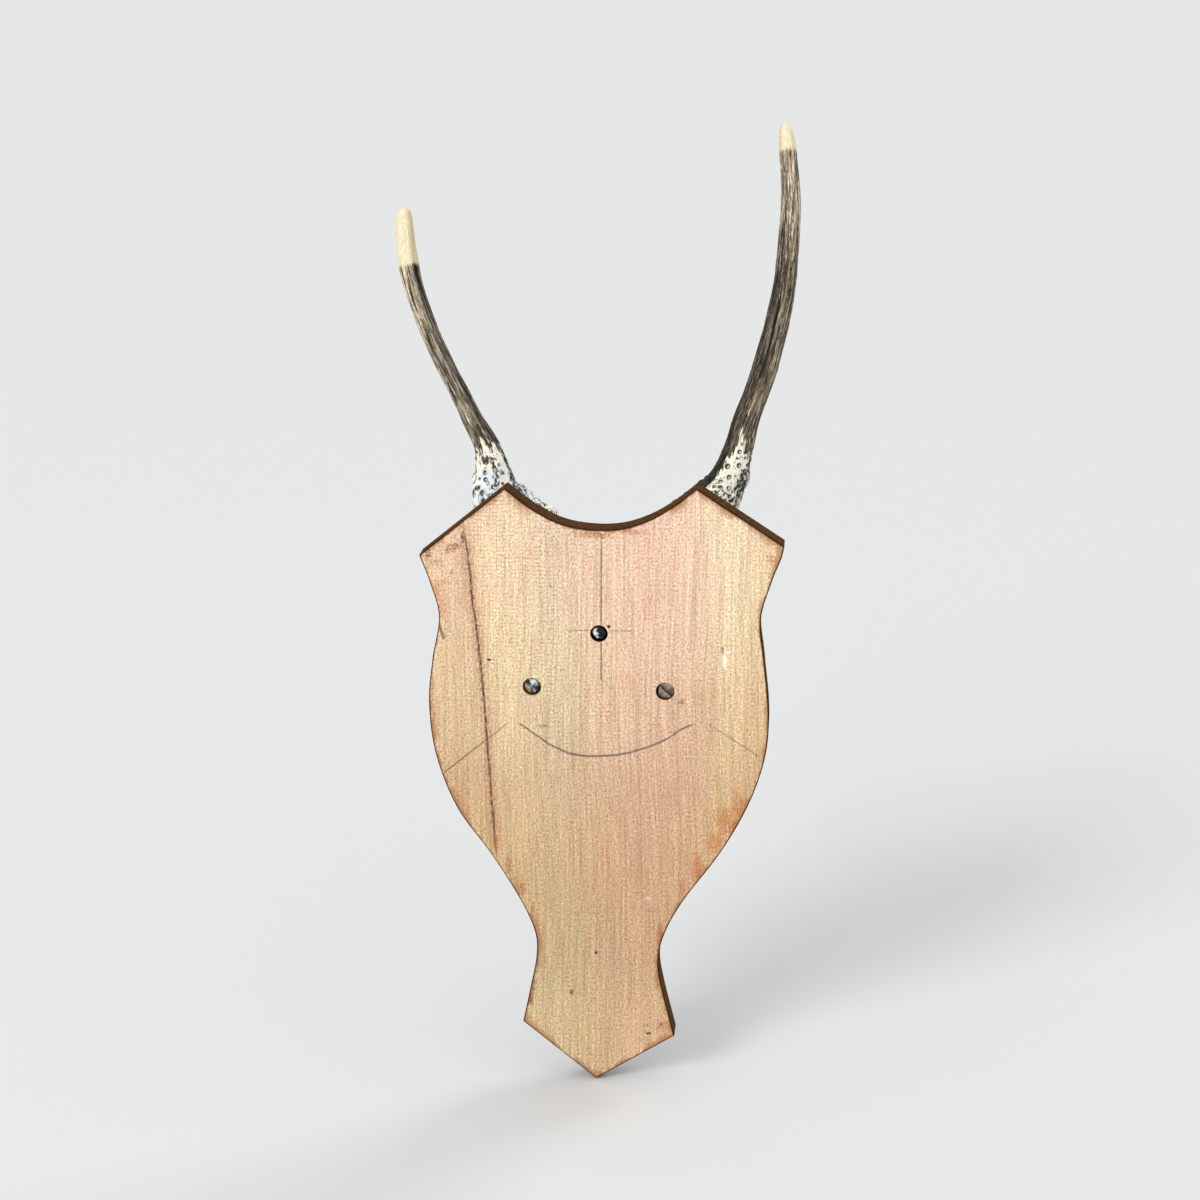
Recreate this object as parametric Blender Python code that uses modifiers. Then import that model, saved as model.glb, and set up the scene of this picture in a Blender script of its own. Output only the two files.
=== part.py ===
# Deer skull trophy on a sawn wooden shield, as it hangs on a wall.
# The shield's bare back lies in the plane y = 0 and faces +Y, the skull looks towards -Y, and +Z is up.
# The origin is on the back face, on the shield's centre line. All sizes below are in metres.

import math
import random

import bmesh
import bpy
import numpy as np
from mathutils import Matrix, Vector

MM = 0.001
GAP = 0.3 * MM                  # clearance between pieces that touch

# Plaque
THICKNESS = 18 * MM
MOULD_WIDTH = 8 * MM            # how far the front face is set in by the moulding
MOULD_STEP = 1.2 * MM           # the flat step before the moulding's round
MOULD_DEPTH = 5 * MM            # how much of the thickness the moulding takes
BACK_ARRIS = 0.6 * MM

# Screws
HEAD_RADIUS = 4.0 * MM
HEAD_HEIGHT = 2.4 * MM
HEAD_SINK = 1.2 * MM            # head top below the back face
SLOT_WIDTH = 1.1 * MM
SLOT_DEPTH = 1.0 * MM
SHANK_RADIUS = 2.0 * MM
SHANK_LENGTH = 29 * MM
COUNTERBORE_RADIUS = 4.4 * MM
PILOT_RADIUS = 2.4 * MM
SCREWS = {                      # name: (x, z, slot angle in degrees)
    "screw_top": (0.7, 73.0, 15),
    "screw_left": (32.5, 46.0, -35),
    "screw_right": (-30.5, 45.5, 42),
}

# Skull, sawn flat just under the eye sockets. Heights are above the saw cut.
CUT_Y = -THICKNESS - GAP
ORBIT_CENTRE = (32, 64, 25)     # across, up the plaque, height: millimetres
ORBIT_NORMAL = (0.86, -0.28, 0.42)
ORBIT_RADIUS = 17.6 * MM
RIM_RADIUS = 2.5 * MM
SKULL_VOXEL = 1.4 * MM
SKULL_TRIANGLES = 3750
PEDICLES = {                    # the posts under the antlers: across, up the plaque, height and radius
    +1: [(13, 79, 34, 11.8), (19.5, 84.5, 37, 11.2), (27.5, 92, 39.5, 10.4), (39, 103.7, 42, 10.0)],
    -1: [(13, 80, 34, 11.5), (20, 87, 37, 10.4), (28, 96.5, 39.5, 8.8), (38.5, 108.6, 42, 8.2)],
}

# Antlers
ANTLER_RIDGES = 9
RIDGE_DEPTH = 0.05              # as a share of the beam's radius
ANTLER_VOXEL = 1.0 * MM
BASE_TRIANGLES = 950
PEARLS = 26

BONE = ((0.86, 0.82, 0.72, 1), 0.55, 0.0)
ANTLER = ((0.20, 0.15, 0.11, 1), 0.55, 0.0)
WOOD = ((0.78, 0.60, 0.42, 1), 0.65, 0.0)
STEEL = ((0.42, 0.41, 0.39, 1), 0.35, 1.0)


# Housekeeping

for old in list(bpy.data.objects):
    bpy.data.objects.remove(old)

parts = bpy.data.collections.new("deer_skull_mount")
cutters = bpy.data.collections.new("cutters")
bpy.context.scene.collection.children.link(parts)
bpy.context.scene.collection.children.link(cutters)


def material(name, look):
    colour, roughness, metallic = look
    made = bpy.data.materials.new(name)
    made.use_nodes = True
    shader = made.node_tree.nodes["Principled BSDF"]
    shader.inputs["Base Color"].default_value = colour
    shader.inputs["Roughness"].default_value = roughness
    shader.inputs["Metallic"].default_value = metallic
    return made


def on_skull(across, up, height):
    """A point given across the plaque, up the plaque and above the saw cut, in millimetres."""
    return Vector((across * MM, CUT_Y - height * MM, up * MM))


def take_out(obj):
    """The finished mesh of an object, with its modifiers and its place applied; the object goes."""
    graph = bpy.context.evaluated_depsgraph_get()
    mesh = bpy.data.meshes.new_from_object(obj.evaluated_get(graph))
    mesh.transform(obj.matrix_world)
    work = bmesh.new()
    work.from_mesh(mesh)
    bmesh.ops.remove_doubles(work, verts=work.verts, dist=0.00001)
    work.to_mesh(mesh)
    work.free()
    bpy.data.objects.remove(obj)
    return mesh


def place(name, mesh, look, collection=parts):
    mesh.materials.clear()
    mesh.materials.append(material(name, look))
    made = bpy.data.objects.new(name, mesh)
    collection.objects.link(made)
    return made


def ball(centre, radii, turn=None, segments=24):
    """A closed ellipsoid as a mesh."""
    bpy.ops.mesh.primitive_uv_sphere_add(segments=segments, ring_count=segments // 2, radius=1)
    obj = bpy.context.object
    turn = turn or Matrix.Identity(3)
    obj.matrix_world = Matrix.Translation(centre) @ turn.to_4x4() @ Matrix.Diagonal((*radii, 1))
    bpy.context.view_layer.update()
    return take_out(obj)


def rod(points, radii, sides=12):
    """A closed round tube through the points, its radius changing along the way."""
    curve = bpy.data.curves.new("rod", "CURVE")
    curve.dimensions = "3D"
    curve.bevel_depth = 1.0
    curve.bevel_resolution = max(0, sides // 4 - 1)
    curve.use_fill_caps = True
    line = curve.splines.new("POLY")
    line.points.add(len(points) - 1)
    for knot, point, radius in zip(line.points, points, radii):
        knot.co = (*point, 1)
        knot.radius = radius
    obj = bpy.data.objects.new("rod", curve)
    parts.objects.link(obj)
    bpy.context.view_layer.update()
    return take_out(obj)


def cylinder(centre, radius, length, sides=32):
    """A cylinder along Y, as a cutter or a shank."""
    bpy.ops.mesh.primitive_cylinder_add(vertices=sides, radius=radius, depth=length, location=centre,
                                        rotation=(math.pi / 2, 0, 0))
    bpy.context.view_layer.update()
    return take_out(bpy.context.object)


def smooth_path(knots, steps):
    """Points on a smooth curve through rows of numbers, such as x, y, z and radius."""
    rows = np.array(knots, float)
    ends = np.vstack([2 * rows[0] - rows[1], rows, 2 * rows[-1] - rows[-2]])
    made = []
    for i in range(1, len(ends) - 2):
        a, b, c, d = ends[i - 1:i + 3]
        for t in np.linspace(0, 1, steps, endpoint=False):
            made.append(0.5 * (2 * b + (c - a) * t + (2 * a - 5 * b + 4 * c - d) * t**2
                               + (3 * b - a - 3 * c + d) * t**3))
    return np.vstack([made, rows[-1]])


def merged(meshes):
    """All the meshes in one object."""
    work = bmesh.new()
    for mesh in meshes:
        work.from_mesh(mesh)
    mesh = bpy.data.meshes.new("merged")
    work.to_mesh(mesh)
    work.free()
    obj = bpy.data.objects.new("merged", mesh)
    parts.objects.link(obj)
    return obj


def skin(meshes, voxel, smoothing):
    """One closed surface round overlapping solids."""
    obj = merged(meshes)
    wrap = obj.modifiers.new("wrap", "REMESH")
    wrap.mode = "VOXEL"
    wrap.voxel_size = voxel
    wrap.adaptivity = 0
    if smoothing:
        soft = obj.modifiers.new("soften", "SMOOTH")
        soft.factor = 0.5
        soft.iterations = smoothing
    return take_out(obj)


def thin_out(mesh, triangles):
    """The mesh with about that many triangles."""
    mesh.calc_loop_triangles()
    obj = bpy.data.objects.new("thin", mesh)
    parts.objects.link(obj)
    fewer = obj.modifiers.new("fewer", "DECIMATE")
    fewer.ratio = min(1.0, triangles / len(mesh.loop_triangles))
    return take_out(obj)


def cut(mesh, cutter_mesh, operation="DIFFERENCE"):
    """The mesh after a Boolean with another mesh."""
    obj = bpy.data.objects.new("cut", mesh)
    parts.objects.link(obj)
    tool = bpy.data.objects.new("cutter", cutter_mesh)
    cutters.objects.link(tool)
    tool.hide_render = True
    tool.display_type = "WIRE"
    step = obj.modifiers.new("cut", "BOOLEAN")
    step.operation = operation
    step.object = tool
    step.solver = "EXACT"
    made = take_out(obj)
    bpy.data.objects.remove(tool)
    return made


# Plaque: a hand-sawn shield outline, so its left shoulder sits lower than its right one.

SIDE_CURVES = {                 # from the shoulder down to the tail's corner: (across, up) in millimetres
    +1: [(85.0, 109.0), (80.1, 95.6), (76.2, 79.0), (79.7, 58.5), (81.8, 36.0), (78.8, 10.0), (69.0, -16.5),
         (53.0, -39.5), (38.7, -63.5), (31.9, -80.0), (31.4, -92.5), (34.0, -107.0), (38.2, -127.5)],
    -1: [(84.9, 117.0), (83.5, 110.8), (79.4, 99.8), (74.7, 81.5), (76.7, 61.5), (79.4, 34.0), (77.6, 12.0),
         (69.8, -12.0), (57.0, -36.0), (40.0, -60.6), (31.0, -78.5), (28.3, -93.0), (30.6, -108.5),
         (36.4, -132.2)],
}
TAIL_TIP = (2.2, -157.0)
PEAKS = {+1: (44.5, 142.0), -1: (-44.2, 143.5)}
CROWN_DIP = [(32.0, 132.5), (18.5, 125.6), (4.0, 123.1), (-10.0, 123.9), (-22.5, 128.2),
             (-33.5, 134.9)]


def outline_runs():
    """The back outline as runs of points between its sharp corners, in metres."""
    side = {s: smooth_path([(s * x, z) for x, z in curve], 2) for s, curve in SIDE_CURVES.items()}
    crown = smooth_path([PEAKS[+1], *CROWN_DIP, PEAKS[-1]], 2)[::-1]
    straights = [(side[+1][-1], TAIL_TIP), (TAIL_TIP, side[-1][-1]), (side[-1][0], crown[0]),
                 (crown[-1], side[+1][0])]
    to_tip, from_tip, right_slope, left_slope = [np.linspace(p, q, 4) for p, q in straights]
    runs = (side[+1], to_tip, from_tip, side[-1][::-1], right_slope, crown, left_slope)
    return [run * MM for run in runs]


def shifted(run, distance):
    """A run of points moved inwards by the same distance."""
    along = np.gradient(run, axis=0)
    along /= np.linalg.norm(along, axis=1)[:, None]
    return run + distance * np.column_stack([along[:, 1], -along[:, 0]])


def crossing(first, second):
    """Where two runs cross near the corner they share, as positions along each of them."""
    for i in range(len(first) - 2, -1, -1):
        for j in range(len(second) - 1):
            p, q = first[i], second[j]
            r, s = first[i + 1] - p, second[j + 1] - q
            area = r[0] * s[1] - r[1] * s[0]
            if abs(area) < 1e-18:
                continue
            t = ((q - p)[0] * s[1] - (q - p)[1] * s[0]) / area
            u = ((q - p)[0] * r[1] - (q - p)[1] * r[0]) / area
            if 0 <= t <= 1 and 0 <= u <= 1:
                return i + t, j + u
    return len(first) - 1.0, 0.0


def inset(runs, distance):
    """The outline moved inwards, each run trimmed where it meets the next, as one loop of points."""
    if distance == 0:
        moved, ends, starts = runs, [len(r) - 1.0 for r in runs], [0.0] * len(runs)
    else:
        moved = [shifted(run, distance) for run in runs]
        pairs = [crossing(run, moved[(k + 1) % len(moved)]) for k, run in enumerate(moved)]
        ends = [pair[0] for pair in pairs]
        starts = [pairs[k - 1][1] for k in range(len(moved))]
    loop = []
    for run, start, end in zip(moved, starts, ends):
        places = np.linspace(start, end, len(run))[:-1]
        steps = np.arange(len(run))
        across, up = [np.interp(places, steps, run[:, k]) for k in (0, 1)]
        loop += [Vector((x, 0, z)) for x, z in zip(across, up)]
    return loop


def plaque():
    """The plaque: square edge with a small arris behind, a step and a quarter round along the front."""
    runs = outline_runs()
    levels = [(BACK_ARRIS, 0), (0, -BACK_ARRIS), (0, -(THICKNESS - MOULD_DEPTH))]
    for angle in (0, 30, 60, 90):
        a = math.radians(angle)
        set_in = MOULD_STEP + (MOULD_WIDTH - MOULD_STEP) * (1 - math.cos(a))
        levels.append((set_in, -THICKNESS + MOULD_DEPTH * (1 - math.sin(a))))
    work = bmesh.new()
    rings = []
    for distance, depth in levels:
        ring = [work.verts.new(p + Vector((0, depth, 0))) for p in inset(runs, distance)]
        rings.append(ring)
    for upper, lower in zip(rings, rings[1:]):
        for i in range(len(upper)):
            j = (i + 1) % len(upper)
            work.faces.new((upper[i], upper[j], lower[j], lower[i]))
    work.faces.new(rings[0][::-1])
    work.faces.new(rings[-1])
    bmesh.ops.recalc_face_normals(work, faces=work.faces)
    mesh = bpy.data.meshes.new("plaque")
    work.to_mesh(mesh)
    work.free()
    for x, z, _ in SCREWS.values():
        seat = HEAD_SINK + HEAD_HEIGHT + GAP
        mesh = cut(mesh, cylinder((x * MM, 0, z * MM), COUNTERBORE_RADIUS, 2 * seat))
        mesh = cut(mesh, cylinder((x * MM, -THICKNESS / 2, z * MM), PILOT_RADIUS, 2 * THICKNESS, 20))
    return place("plaque", mesh, WOOD)


# Screws: slotted wood screws put in from behind, their heads sunk below the plaque's back.

def screw(name, x, z, slot_angle):
    top = -HEAD_SINK
    centre = Vector((x * MM, 0, z * MM))
    low_edge = HEAD_HEIGHT - 0.7 * MM
    profile = [(0, 0), (HEAD_RADIUS - 0.9 * MM, -0.25 * MM), (HEAD_RADIUS, -0.7 * MM),
               (HEAD_RADIUS, -low_edge), (HEAD_RADIUS - 0.4 * MM, -HEAD_HEIGHT),
               (SHANK_RADIUS, -HEAD_HEIGHT), (SHANK_RADIUS, -SHANK_LENGTH + 5 * MM), (0, -SHANK_LENGTH)]
    work = bmesh.new()
    line = [work.verts.new((r, y, 0)) for r, y in profile]
    for a, b in zip(line, line[1:]):
        work.edges.new((a, b))
    mesh = bpy.data.meshes.new(name)
    work.to_mesh(mesh)
    work.free()
    obj = bpy.data.objects.new(name, mesh)
    parts.objects.link(obj)
    turn = obj.modifiers.new("turn", "SCREW")
    turn.axis = "Y"
    turn.steps = 20
    turn.render_steps = 20
    turn.use_merge_vertices = True
    turn.merge_threshold = 0.00001
    turned = take_out(obj)
    work = bmesh.new()
    work.from_mesh(turned)
    bmesh.ops.recalc_face_normals(work, faces=work.faces)
    work.to_mesh(turned)
    work.free()
    bpy.ops.mesh.primitive_cube_add(size=1)
    slot = bpy.context.object
    slot.scale = (SLOT_WIDTH, 2 * SLOT_DEPTH, 3 * HEAD_RADIUS)
    slot.rotation_euler = (0, math.radians(slot_angle), 0)
    bpy.context.view_layer.update()
    turned = cut(turned, take_out(slot))
    turned.transform(Matrix.Translation(centre + Vector((0, top, 0))))
    return place(name, turned, STEEL)


# Skull: one bone, made of a lofted face and snout, a rounded braincase, socket rims, cheek bars and
# pedicles.

SKULL_SECTIONS = [              # up the plaque, half width at the cut, height, squareness of the section
    (98, 24.0, 38.0, 2.2),
    (88, 27.0, 44.0, 2.5),
    (76, 28.0, 47.0, 2.8),
    (62, 28.0, 47.5, 3.0),
    (50, 29.0, 46.0, 2.8),
    (40, 29.0, 43.5, 2.5),
    (28, 27.5, 40.0, 2.3),
    (14, 25.0, 37.0, 2.1),
    (0, 22.5, 34.5, 2.1),
    (-16, 20.5, 31.5, 2.1),
    (-32, 18.0, 28.0, 2.1),
    (-46, 16.5, 23.0, 2.2),
    (-58, 15.0, 16.0, 2.3),
    (-68, 13.0, 11.5, 2.2),
    (-76, 9.5, 8.0, 2.0),
    (-80, 5.0, 5.0, 2.0),
]


def lofted_face():
    """The long body of the skull from the braincase to the tip of the nose."""
    sides = 28
    below = 9.0                 # how far the solid runs under the saw cut before it is trimmed
    work = bmesh.new()
    rings = []
    for up, half, height, square in smooth_path(SKULL_SECTIONS, 3):
        ring = []
        for i in range(sides):
            a = 2 * math.pi * i / sides
            c, s = math.cos(a), math.sin(a)
            across = half * math.copysign(abs(c) ** (2 / square), c)
            rise = (height if s > 0 else below) * math.copysign(abs(s) ** (2 / square), s)
            ring.append(work.verts.new(on_skull(across, up, rise)))
        rings.append(ring)
    for upper, lower in zip(rings, rings[1:]):
        for i in range(sides):
            j = (i + 1) % sides
            work.faces.new((upper[i], upper[j], lower[j], lower[i]))
    work.faces.new(rings[0])
    work.faces.new(rings[-1])
    bmesh.ops.recalc_face_normals(work, faces=work.faces)
    mesh = bpy.data.meshes.new("face")
    work.to_mesh(mesh)
    work.free()
    return mesh


def orbit_turn(side):
    """Turns a socket's own axis, +Z, to look out of the skull on that side."""
    across, up, height = ORBIT_NORMAL
    return Vector((side * across, -height, up)).to_track_quat("Z", "Y").to_matrix()


def orbit_centre(side):
    across, up, height = ORBIT_CENTRE
    return on_skull(side * across, up, height)


def rim(side):
    """The raised ring of bone round one eye socket."""
    bpy.ops.mesh.primitive_torus_add(major_radius=ORBIT_RADIUS + 0.8 * MM, minor_radius=RIM_RADIUS,
                                     major_segments=40, minor_segments=10)
    obj = bpy.context.object
    obj.matrix_world = Matrix.Translation(orbit_centre(side)) @ orbit_turn(side).to_4x4()
    bpy.context.view_layer.update()
    return take_out(obj)


def skull_solids(side):
    """The pairs of forms that stand on one side of the skull."""
    s = side
    made = [rim(s), ball(on_skull(s * 20, 64, 33), (12 * MM, 11.5 * MM, 22 * MM)),
            ball(on_skull(s * 21.5, 42, 24), (7.5 * MM, 14 * MM, 16 * MM))]
    made.append(rod([on_skull(s * across, up, height) for across, up, height, _ in PEDICLES[side]],
                    [radius * MM for *_, radius in PEDICLES[side]], 16))
    made.append(rod([on_skull(s * 19, 10, 9), on_skull(s * 24.5, 24, 11), on_skull(s * 30, 36, 10),
                     on_skull(s * 34.5, 46, 8), on_skull(s * 38.5, 56, 6), on_skull(s * 40.5, 69, 5),
                     on_skull(s * 38.8, 84, 6), on_skull(s * 33, 96, 7), on_skull(s * 24, 103, 7)],
                    [5 * MM, 7 * MM, 8 * MM, 7 * MM, 4.6 * MM, 3.2 * MM, 3.2 * MM, 3.8 * MM, 5 * MM]))
    made.append(rod([on_skull(s * 13.5, -20, 10), on_skull(s * 13.2, -44, 8), on_skull(s * 11.2, -62, 5.6),
                     on_skull(s * 8.0, -76, 4.2), on_skull(s * 6.4, -82, 3.6)],
                    [6.5 * MM, 5 * MM, 4.2 * MM, 3.2 * MM, 2.0 * MM]))
    made.append(rod([on_skull(s * 5.0, 30, 36), on_skull(s * 5.6, 5, 31.5), on_skull(s * 5.4, -20, 26.5),
                     on_skull(s * 5.0, -43, 21.2)],
                    [5 * MM, 5.4 * MM, 4.8 * MM, 2.4 * MM]))
    return made


def skull():
    """The sawn skull, open at the sockets and the nose, with its flat cut against the plaque."""
    solids = [lofted_face(), ball(on_skull(0, 84, 13), (32.5 * MM, 33.5 * MM, 31.0 * MM))]
    for side in (1, -1):
        solids += skull_solids(side)
    form = skin(solids, SKULL_VOXEL, 4)
    for side in (1, -1):
        inward = orbit_turn(side) @ Vector((0, 0, -6 * MM))
        socket = (ORBIT_RADIUS - 1.2 * MM, ORBIT_RADIUS - 1.2 * MM, 21 * MM)
        form = cut(form, ball(orbit_centre(side) + inward, socket, orbit_turn(side)))
    nose = ball(on_skull(0, -56, 14), (8.6 * MM, 20 * MM, 23 * MM))
    form = cut(form, nose)
    form = thin_out(form, SKULL_TRIANGLES)
    reach = 400 * MM
    bpy.ops.mesh.primitive_cube_add(size=reach, location=(0, CUT_Y + reach / 2, 0))
    bpy.context.view_layer.update()
    form = cut(form, take_out(bpy.context.object))
    for x, z, _ in SCREWS.values():
        bite = SHANK_LENGTH + HEAD_SINK + 1 * MM
        form = cut(form, cylinder((x * MM, -bite / 2, z * MM), PILOT_RADIUS, bite, 20))
    return place("skull", form, BONE)


# Antlers: simple spikes. The left one, at +X, is shorter than the right one.

BEAMS = {                       # from the burr to the tip: x, y, z and radius in millimetres
    "antler_left": [
        (37.0, -60.0, 101.5, 10.4), (38.6, -60.1, 103.3, 15.6), (42.0, -60.4, 107.0, 16.0),
        (48.6, -61.0, 114.2, 14.6), (55.2, -61.8, 124.0, 12.2), (58.8, -62.7, 135.2, 9.0),
        (62.6, -64.0, 148.7, 6.0), (68.3, -66.0, 160.1, 5.0), (74.1, -68.0, 171.5, 4.6),
        (80.3, -70.0, 182.8, 4.4), (86.1, -72.0, 194.2, 4.4), (91.2, -74.5, 205.4, 4.5),
        (95.6, -77.0, 216.7, 4.6), (99.3, -80.0, 227.9, 4.7), (101.6, -83.0, 239.1, 4.7),
        (102.8, -86.0, 250.3, 4.3), (103.2, -87.6, 256.4, 3.5), (103.3, -88.6, 260.0, 1.6)],
    "antler_right": [
        (-37.4, -60.0, 108.0, 9.0), (-39.2, -60.2, 110.0, 13.4), (-42.8, -60.5, 114.0, 14.0),
        (-48.6, -61.0, 121.2, 12.6), (-54.2, -61.6, 129.0, 10.4), (-58.0, -62.5, 137.5, 8.4),
        (-61.3, -64.0, 149.0, 6.8), (-64.9, -66.0, 162.5, 6.2), (-68.9, -68.0, 173.9, 5.9),
        (-72.6, -70.0, 185.3, 5.9), (-75.6, -71.5, 196.7, 5.8), (-78.4, -73.0, 208.1, 5.6),
        (-80.6, -75.0, 219.4, 5.5), (-82.2, -77.0, 230.6, 5.4), (-83.2, -79.0, 241.8, 5.1),
        (-83.6, -81.0, 252.9, 4.7), (-83.7, -83.5, 264.0, 4.5), (-83.1, -86.0, 275.1, 4.4),
        (-81.6, -89.0, 288.9, 4.1), (-80.6, -91.2, 297.4, 3.2), (-80.2, -92.2, 301.6, 1.4)],
}
BURR_KNOT = 2                   # the point of a beam where its burr is widest
BASE_KNOTS = 6                  # the first points of a beam belong to the pearled base


def ridged_beam(knots):
    """The shaft: a swept star-like section, so the beam carries long shallow ridges."""
    profile = bpy.data.curves.new("section", "CURVE")
    profile.dimensions = "2D"
    ring = profile.splines.new("POLY")
    sides = 2 * ANTLER_RIDGES
    ring.points.add(sides - 1)
    for i, knot in enumerate(ring.points):
        a = 2 * math.pi * i / sides
        r = 1 + (RIDGE_DEPTH if i % 2 else -RIDGE_DEPTH)
        knot.co = (r * math.cos(a), r * math.sin(a), 0, 1)
    ring.use_cyclic_u = True
    section = bpy.data.objects.new("section", profile)
    cutters.objects.link(section)
    section.hide_render = True
    curve = bpy.data.curves.new("beam", "CURVE")
    curve.dimensions = "3D"
    curve.bevel_mode = "OBJECT"
    curve.bevel_object = section
    curve.use_fill_caps = True
    path = smooth_path(knots, 1)
    line = curve.splines.new("POLY")
    line.points.add(len(path) - 1)
    for knot, (x, y, z, radius) in zip(line.points, path):
        knot.co = (x * MM, y * MM, z * MM, 1)
        knot.radius = radius * MM
    obj = bpy.data.objects.new("beam", curve)
    parts.objects.link(obj)
    bpy.context.view_layer.update()
    mesh = take_out(obj)
    bpy.data.objects.remove(section)
    work = bmesh.new()
    work.from_mesh(mesh)
    bmesh.ops.recalc_face_normals(work, faces=work.faces)
    work.to_mesh(mesh)
    work.free()
    return mesh


def pearled_base(knots, seed):
    """The flared foot of the beam with its burr, knob and pearls, as one closed surface."""
    dice = random.Random(seed)
    side = math.copysign(1, knots[0][0])
    path = smooth_path([(x, y, z, r) for x, y, z, r in knots[:BASE_KNOTS + 1]], 3)
    points = [Vector(row[:3]) * MM for row in path]
    radii = [row[3] * MM for row in path]
    axis = (points[3] - points[0]).normalized()
    solids = [rod(points, [r * 1.02 for r in radii], 16)]
    across = axis.orthogonal().normalized()
    other = axis.cross(across)
    burr_knobs = 15
    for i in range(burr_knobs):
        a = 2 * math.pi * (i + 0.3 * dice.random()) / burr_knobs
        out = across * math.cos(a) + other * math.sin(a)
        size = dice.uniform(2.0, 2.9) * MM
        centre = points[0] + axis * 4.4 * MM + out * (knots[BURR_KNOT][3] - 0.7) * MM
        solids.append(ball(centre, (size, size, size), None, 10))
    for i in range(PEARLS):
        k = dice.uniform(2, len(points) - 2)
        centre = points[int(k)].lerp(points[int(k) + 1], k % 1)
        r = radii[int(k)] * (1 - k % 1) + radii[int(k) + 1] * (k % 1)
        a = 2.4 * i + dice.uniform(-0.4, 0.4)
        out = across * math.cos(a) + other * math.sin(a)
        size = dice.uniform(1.1, 1.9) * MM
        solids.append(ball(centre + out * (r * 0.93), (size, size, size), None, 8))
    knob = Vector((side * 62.5, -62.5, 134.5)) * MM
    solids.append(ball(knob, (4.2 * MM, 4.4 * MM, 5.4 * MM), None, 14))
    return thin_out(skin(solids, ANTLER_VOXEL, 1), BASE_TRIANGLES)


def antler(name, knots, seed):
    shaft = ridged_beam(knots[BASE_KNOTS - 1:])
    whole = cut(pearled_base(knots, seed), shaft, "UNION")
    axis = (Vector(knots[1][:3]) - Vector(knots[0][:3])).normalized()
    foot = Vector(knots[0][:3]) * MM
    bpy.ops.mesh.primitive_cube_add(size=80 * MM)
    block = bpy.context.object
    turn = axis.to_track_quat("Z", "Y").to_matrix().to_4x4()
    block.matrix_world = Matrix.Translation(foot - axis * 40 * MM) @ turn
    bpy.context.view_layer.update()
    return place(name, cut(whole, take_out(block)), ANTLER)


def trim_pedicles(bone):
    """Saws the pedicles off square, a gap below each antler's foot, where the antler grew on."""
    mesh = take_out(bone)
    for knots in BEAMS.values():
        axis = (Vector(knots[1][:3]) - Vector(knots[0][:3])).normalized()
        foot = Vector(knots[0][:3]) * MM - axis * GAP
        bpy.ops.mesh.primitive_cylinder_add(vertices=24, radius=20 * MM, depth=30 * MM)
        obj = bpy.context.object
        turn = axis.to_track_quat("Z", "Y").to_matrix().to_4x4()
        obj.matrix_world = Matrix.Translation(foot + axis * 15 * MM) @ turn
        bpy.context.view_layer.update()
        mesh = cut(mesh, take_out(obj))
    return place("skull", mesh, BONE)


plaque()
for screw_name, (screw_x, screw_z, angle) in SCREWS.items():
    screw(screw_name, screw_x, screw_z, angle)
for number, (beam_name, beam_knots) in enumerate(BEAMS.items()):
    antler(beam_name, beam_knots, 7 + number)
trim_pedicles(skull())
for piece in parts.objects:
    piece.data.shade_smooth()
    piece.data.set_sharp_from_angle(angle=math.radians(40))
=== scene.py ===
# Deer skull mount, seen from behind as in the photograph: a sawn shield of bare wood, three screws, and
# the antlers of the skull on its far side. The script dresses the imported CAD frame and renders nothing.

import math
import random

import bmesh
import bpy
import numpy as np
from mathutils import Matrix, Vector, noise


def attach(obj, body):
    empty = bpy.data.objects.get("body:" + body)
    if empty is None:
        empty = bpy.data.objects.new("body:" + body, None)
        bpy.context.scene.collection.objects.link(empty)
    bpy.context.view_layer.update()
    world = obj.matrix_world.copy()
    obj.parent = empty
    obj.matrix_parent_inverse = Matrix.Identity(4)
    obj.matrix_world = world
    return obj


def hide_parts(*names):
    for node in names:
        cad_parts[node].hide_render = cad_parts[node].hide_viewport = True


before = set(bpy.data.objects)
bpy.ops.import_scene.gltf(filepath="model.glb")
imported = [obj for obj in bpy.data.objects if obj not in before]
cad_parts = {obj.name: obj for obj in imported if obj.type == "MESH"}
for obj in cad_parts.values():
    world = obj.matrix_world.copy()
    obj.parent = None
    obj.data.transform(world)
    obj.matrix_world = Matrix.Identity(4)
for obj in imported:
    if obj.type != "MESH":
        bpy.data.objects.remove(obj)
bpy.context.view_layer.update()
scene = bpy.context.scene


# The studio: a camera at the photograph's angle, a little above and to one side of the plaque's back, over
# a wide pale floor that meets the tip of the plaque's tail. The air is bright all round, a broad soft sun
# and a small window shine from the camera's upper left, and a weaker sun from the skull's side.

scene.view_settings.view_transform = "Standard"

camera_data = bpy.data.cameras.new("camera")
camera_data.lens = 70
camera_data.sensor_width = 36
camera = bpy.data.objects.new("camera", camera_data)
scene.collection.objects.link(camera)
CAMERA_AT = Vector((-0.0908, 1.0409, 0.3891))
AIMED_AT = Vector((0.0018, -0.0182, 0.0842))
camera.location = CAMERA_AT
camera.rotation_euler = (AIMED_AT - CAMERA_AT).to_track_quat("-Z", "Y").to_euler()
scene.camera = camera

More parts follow.
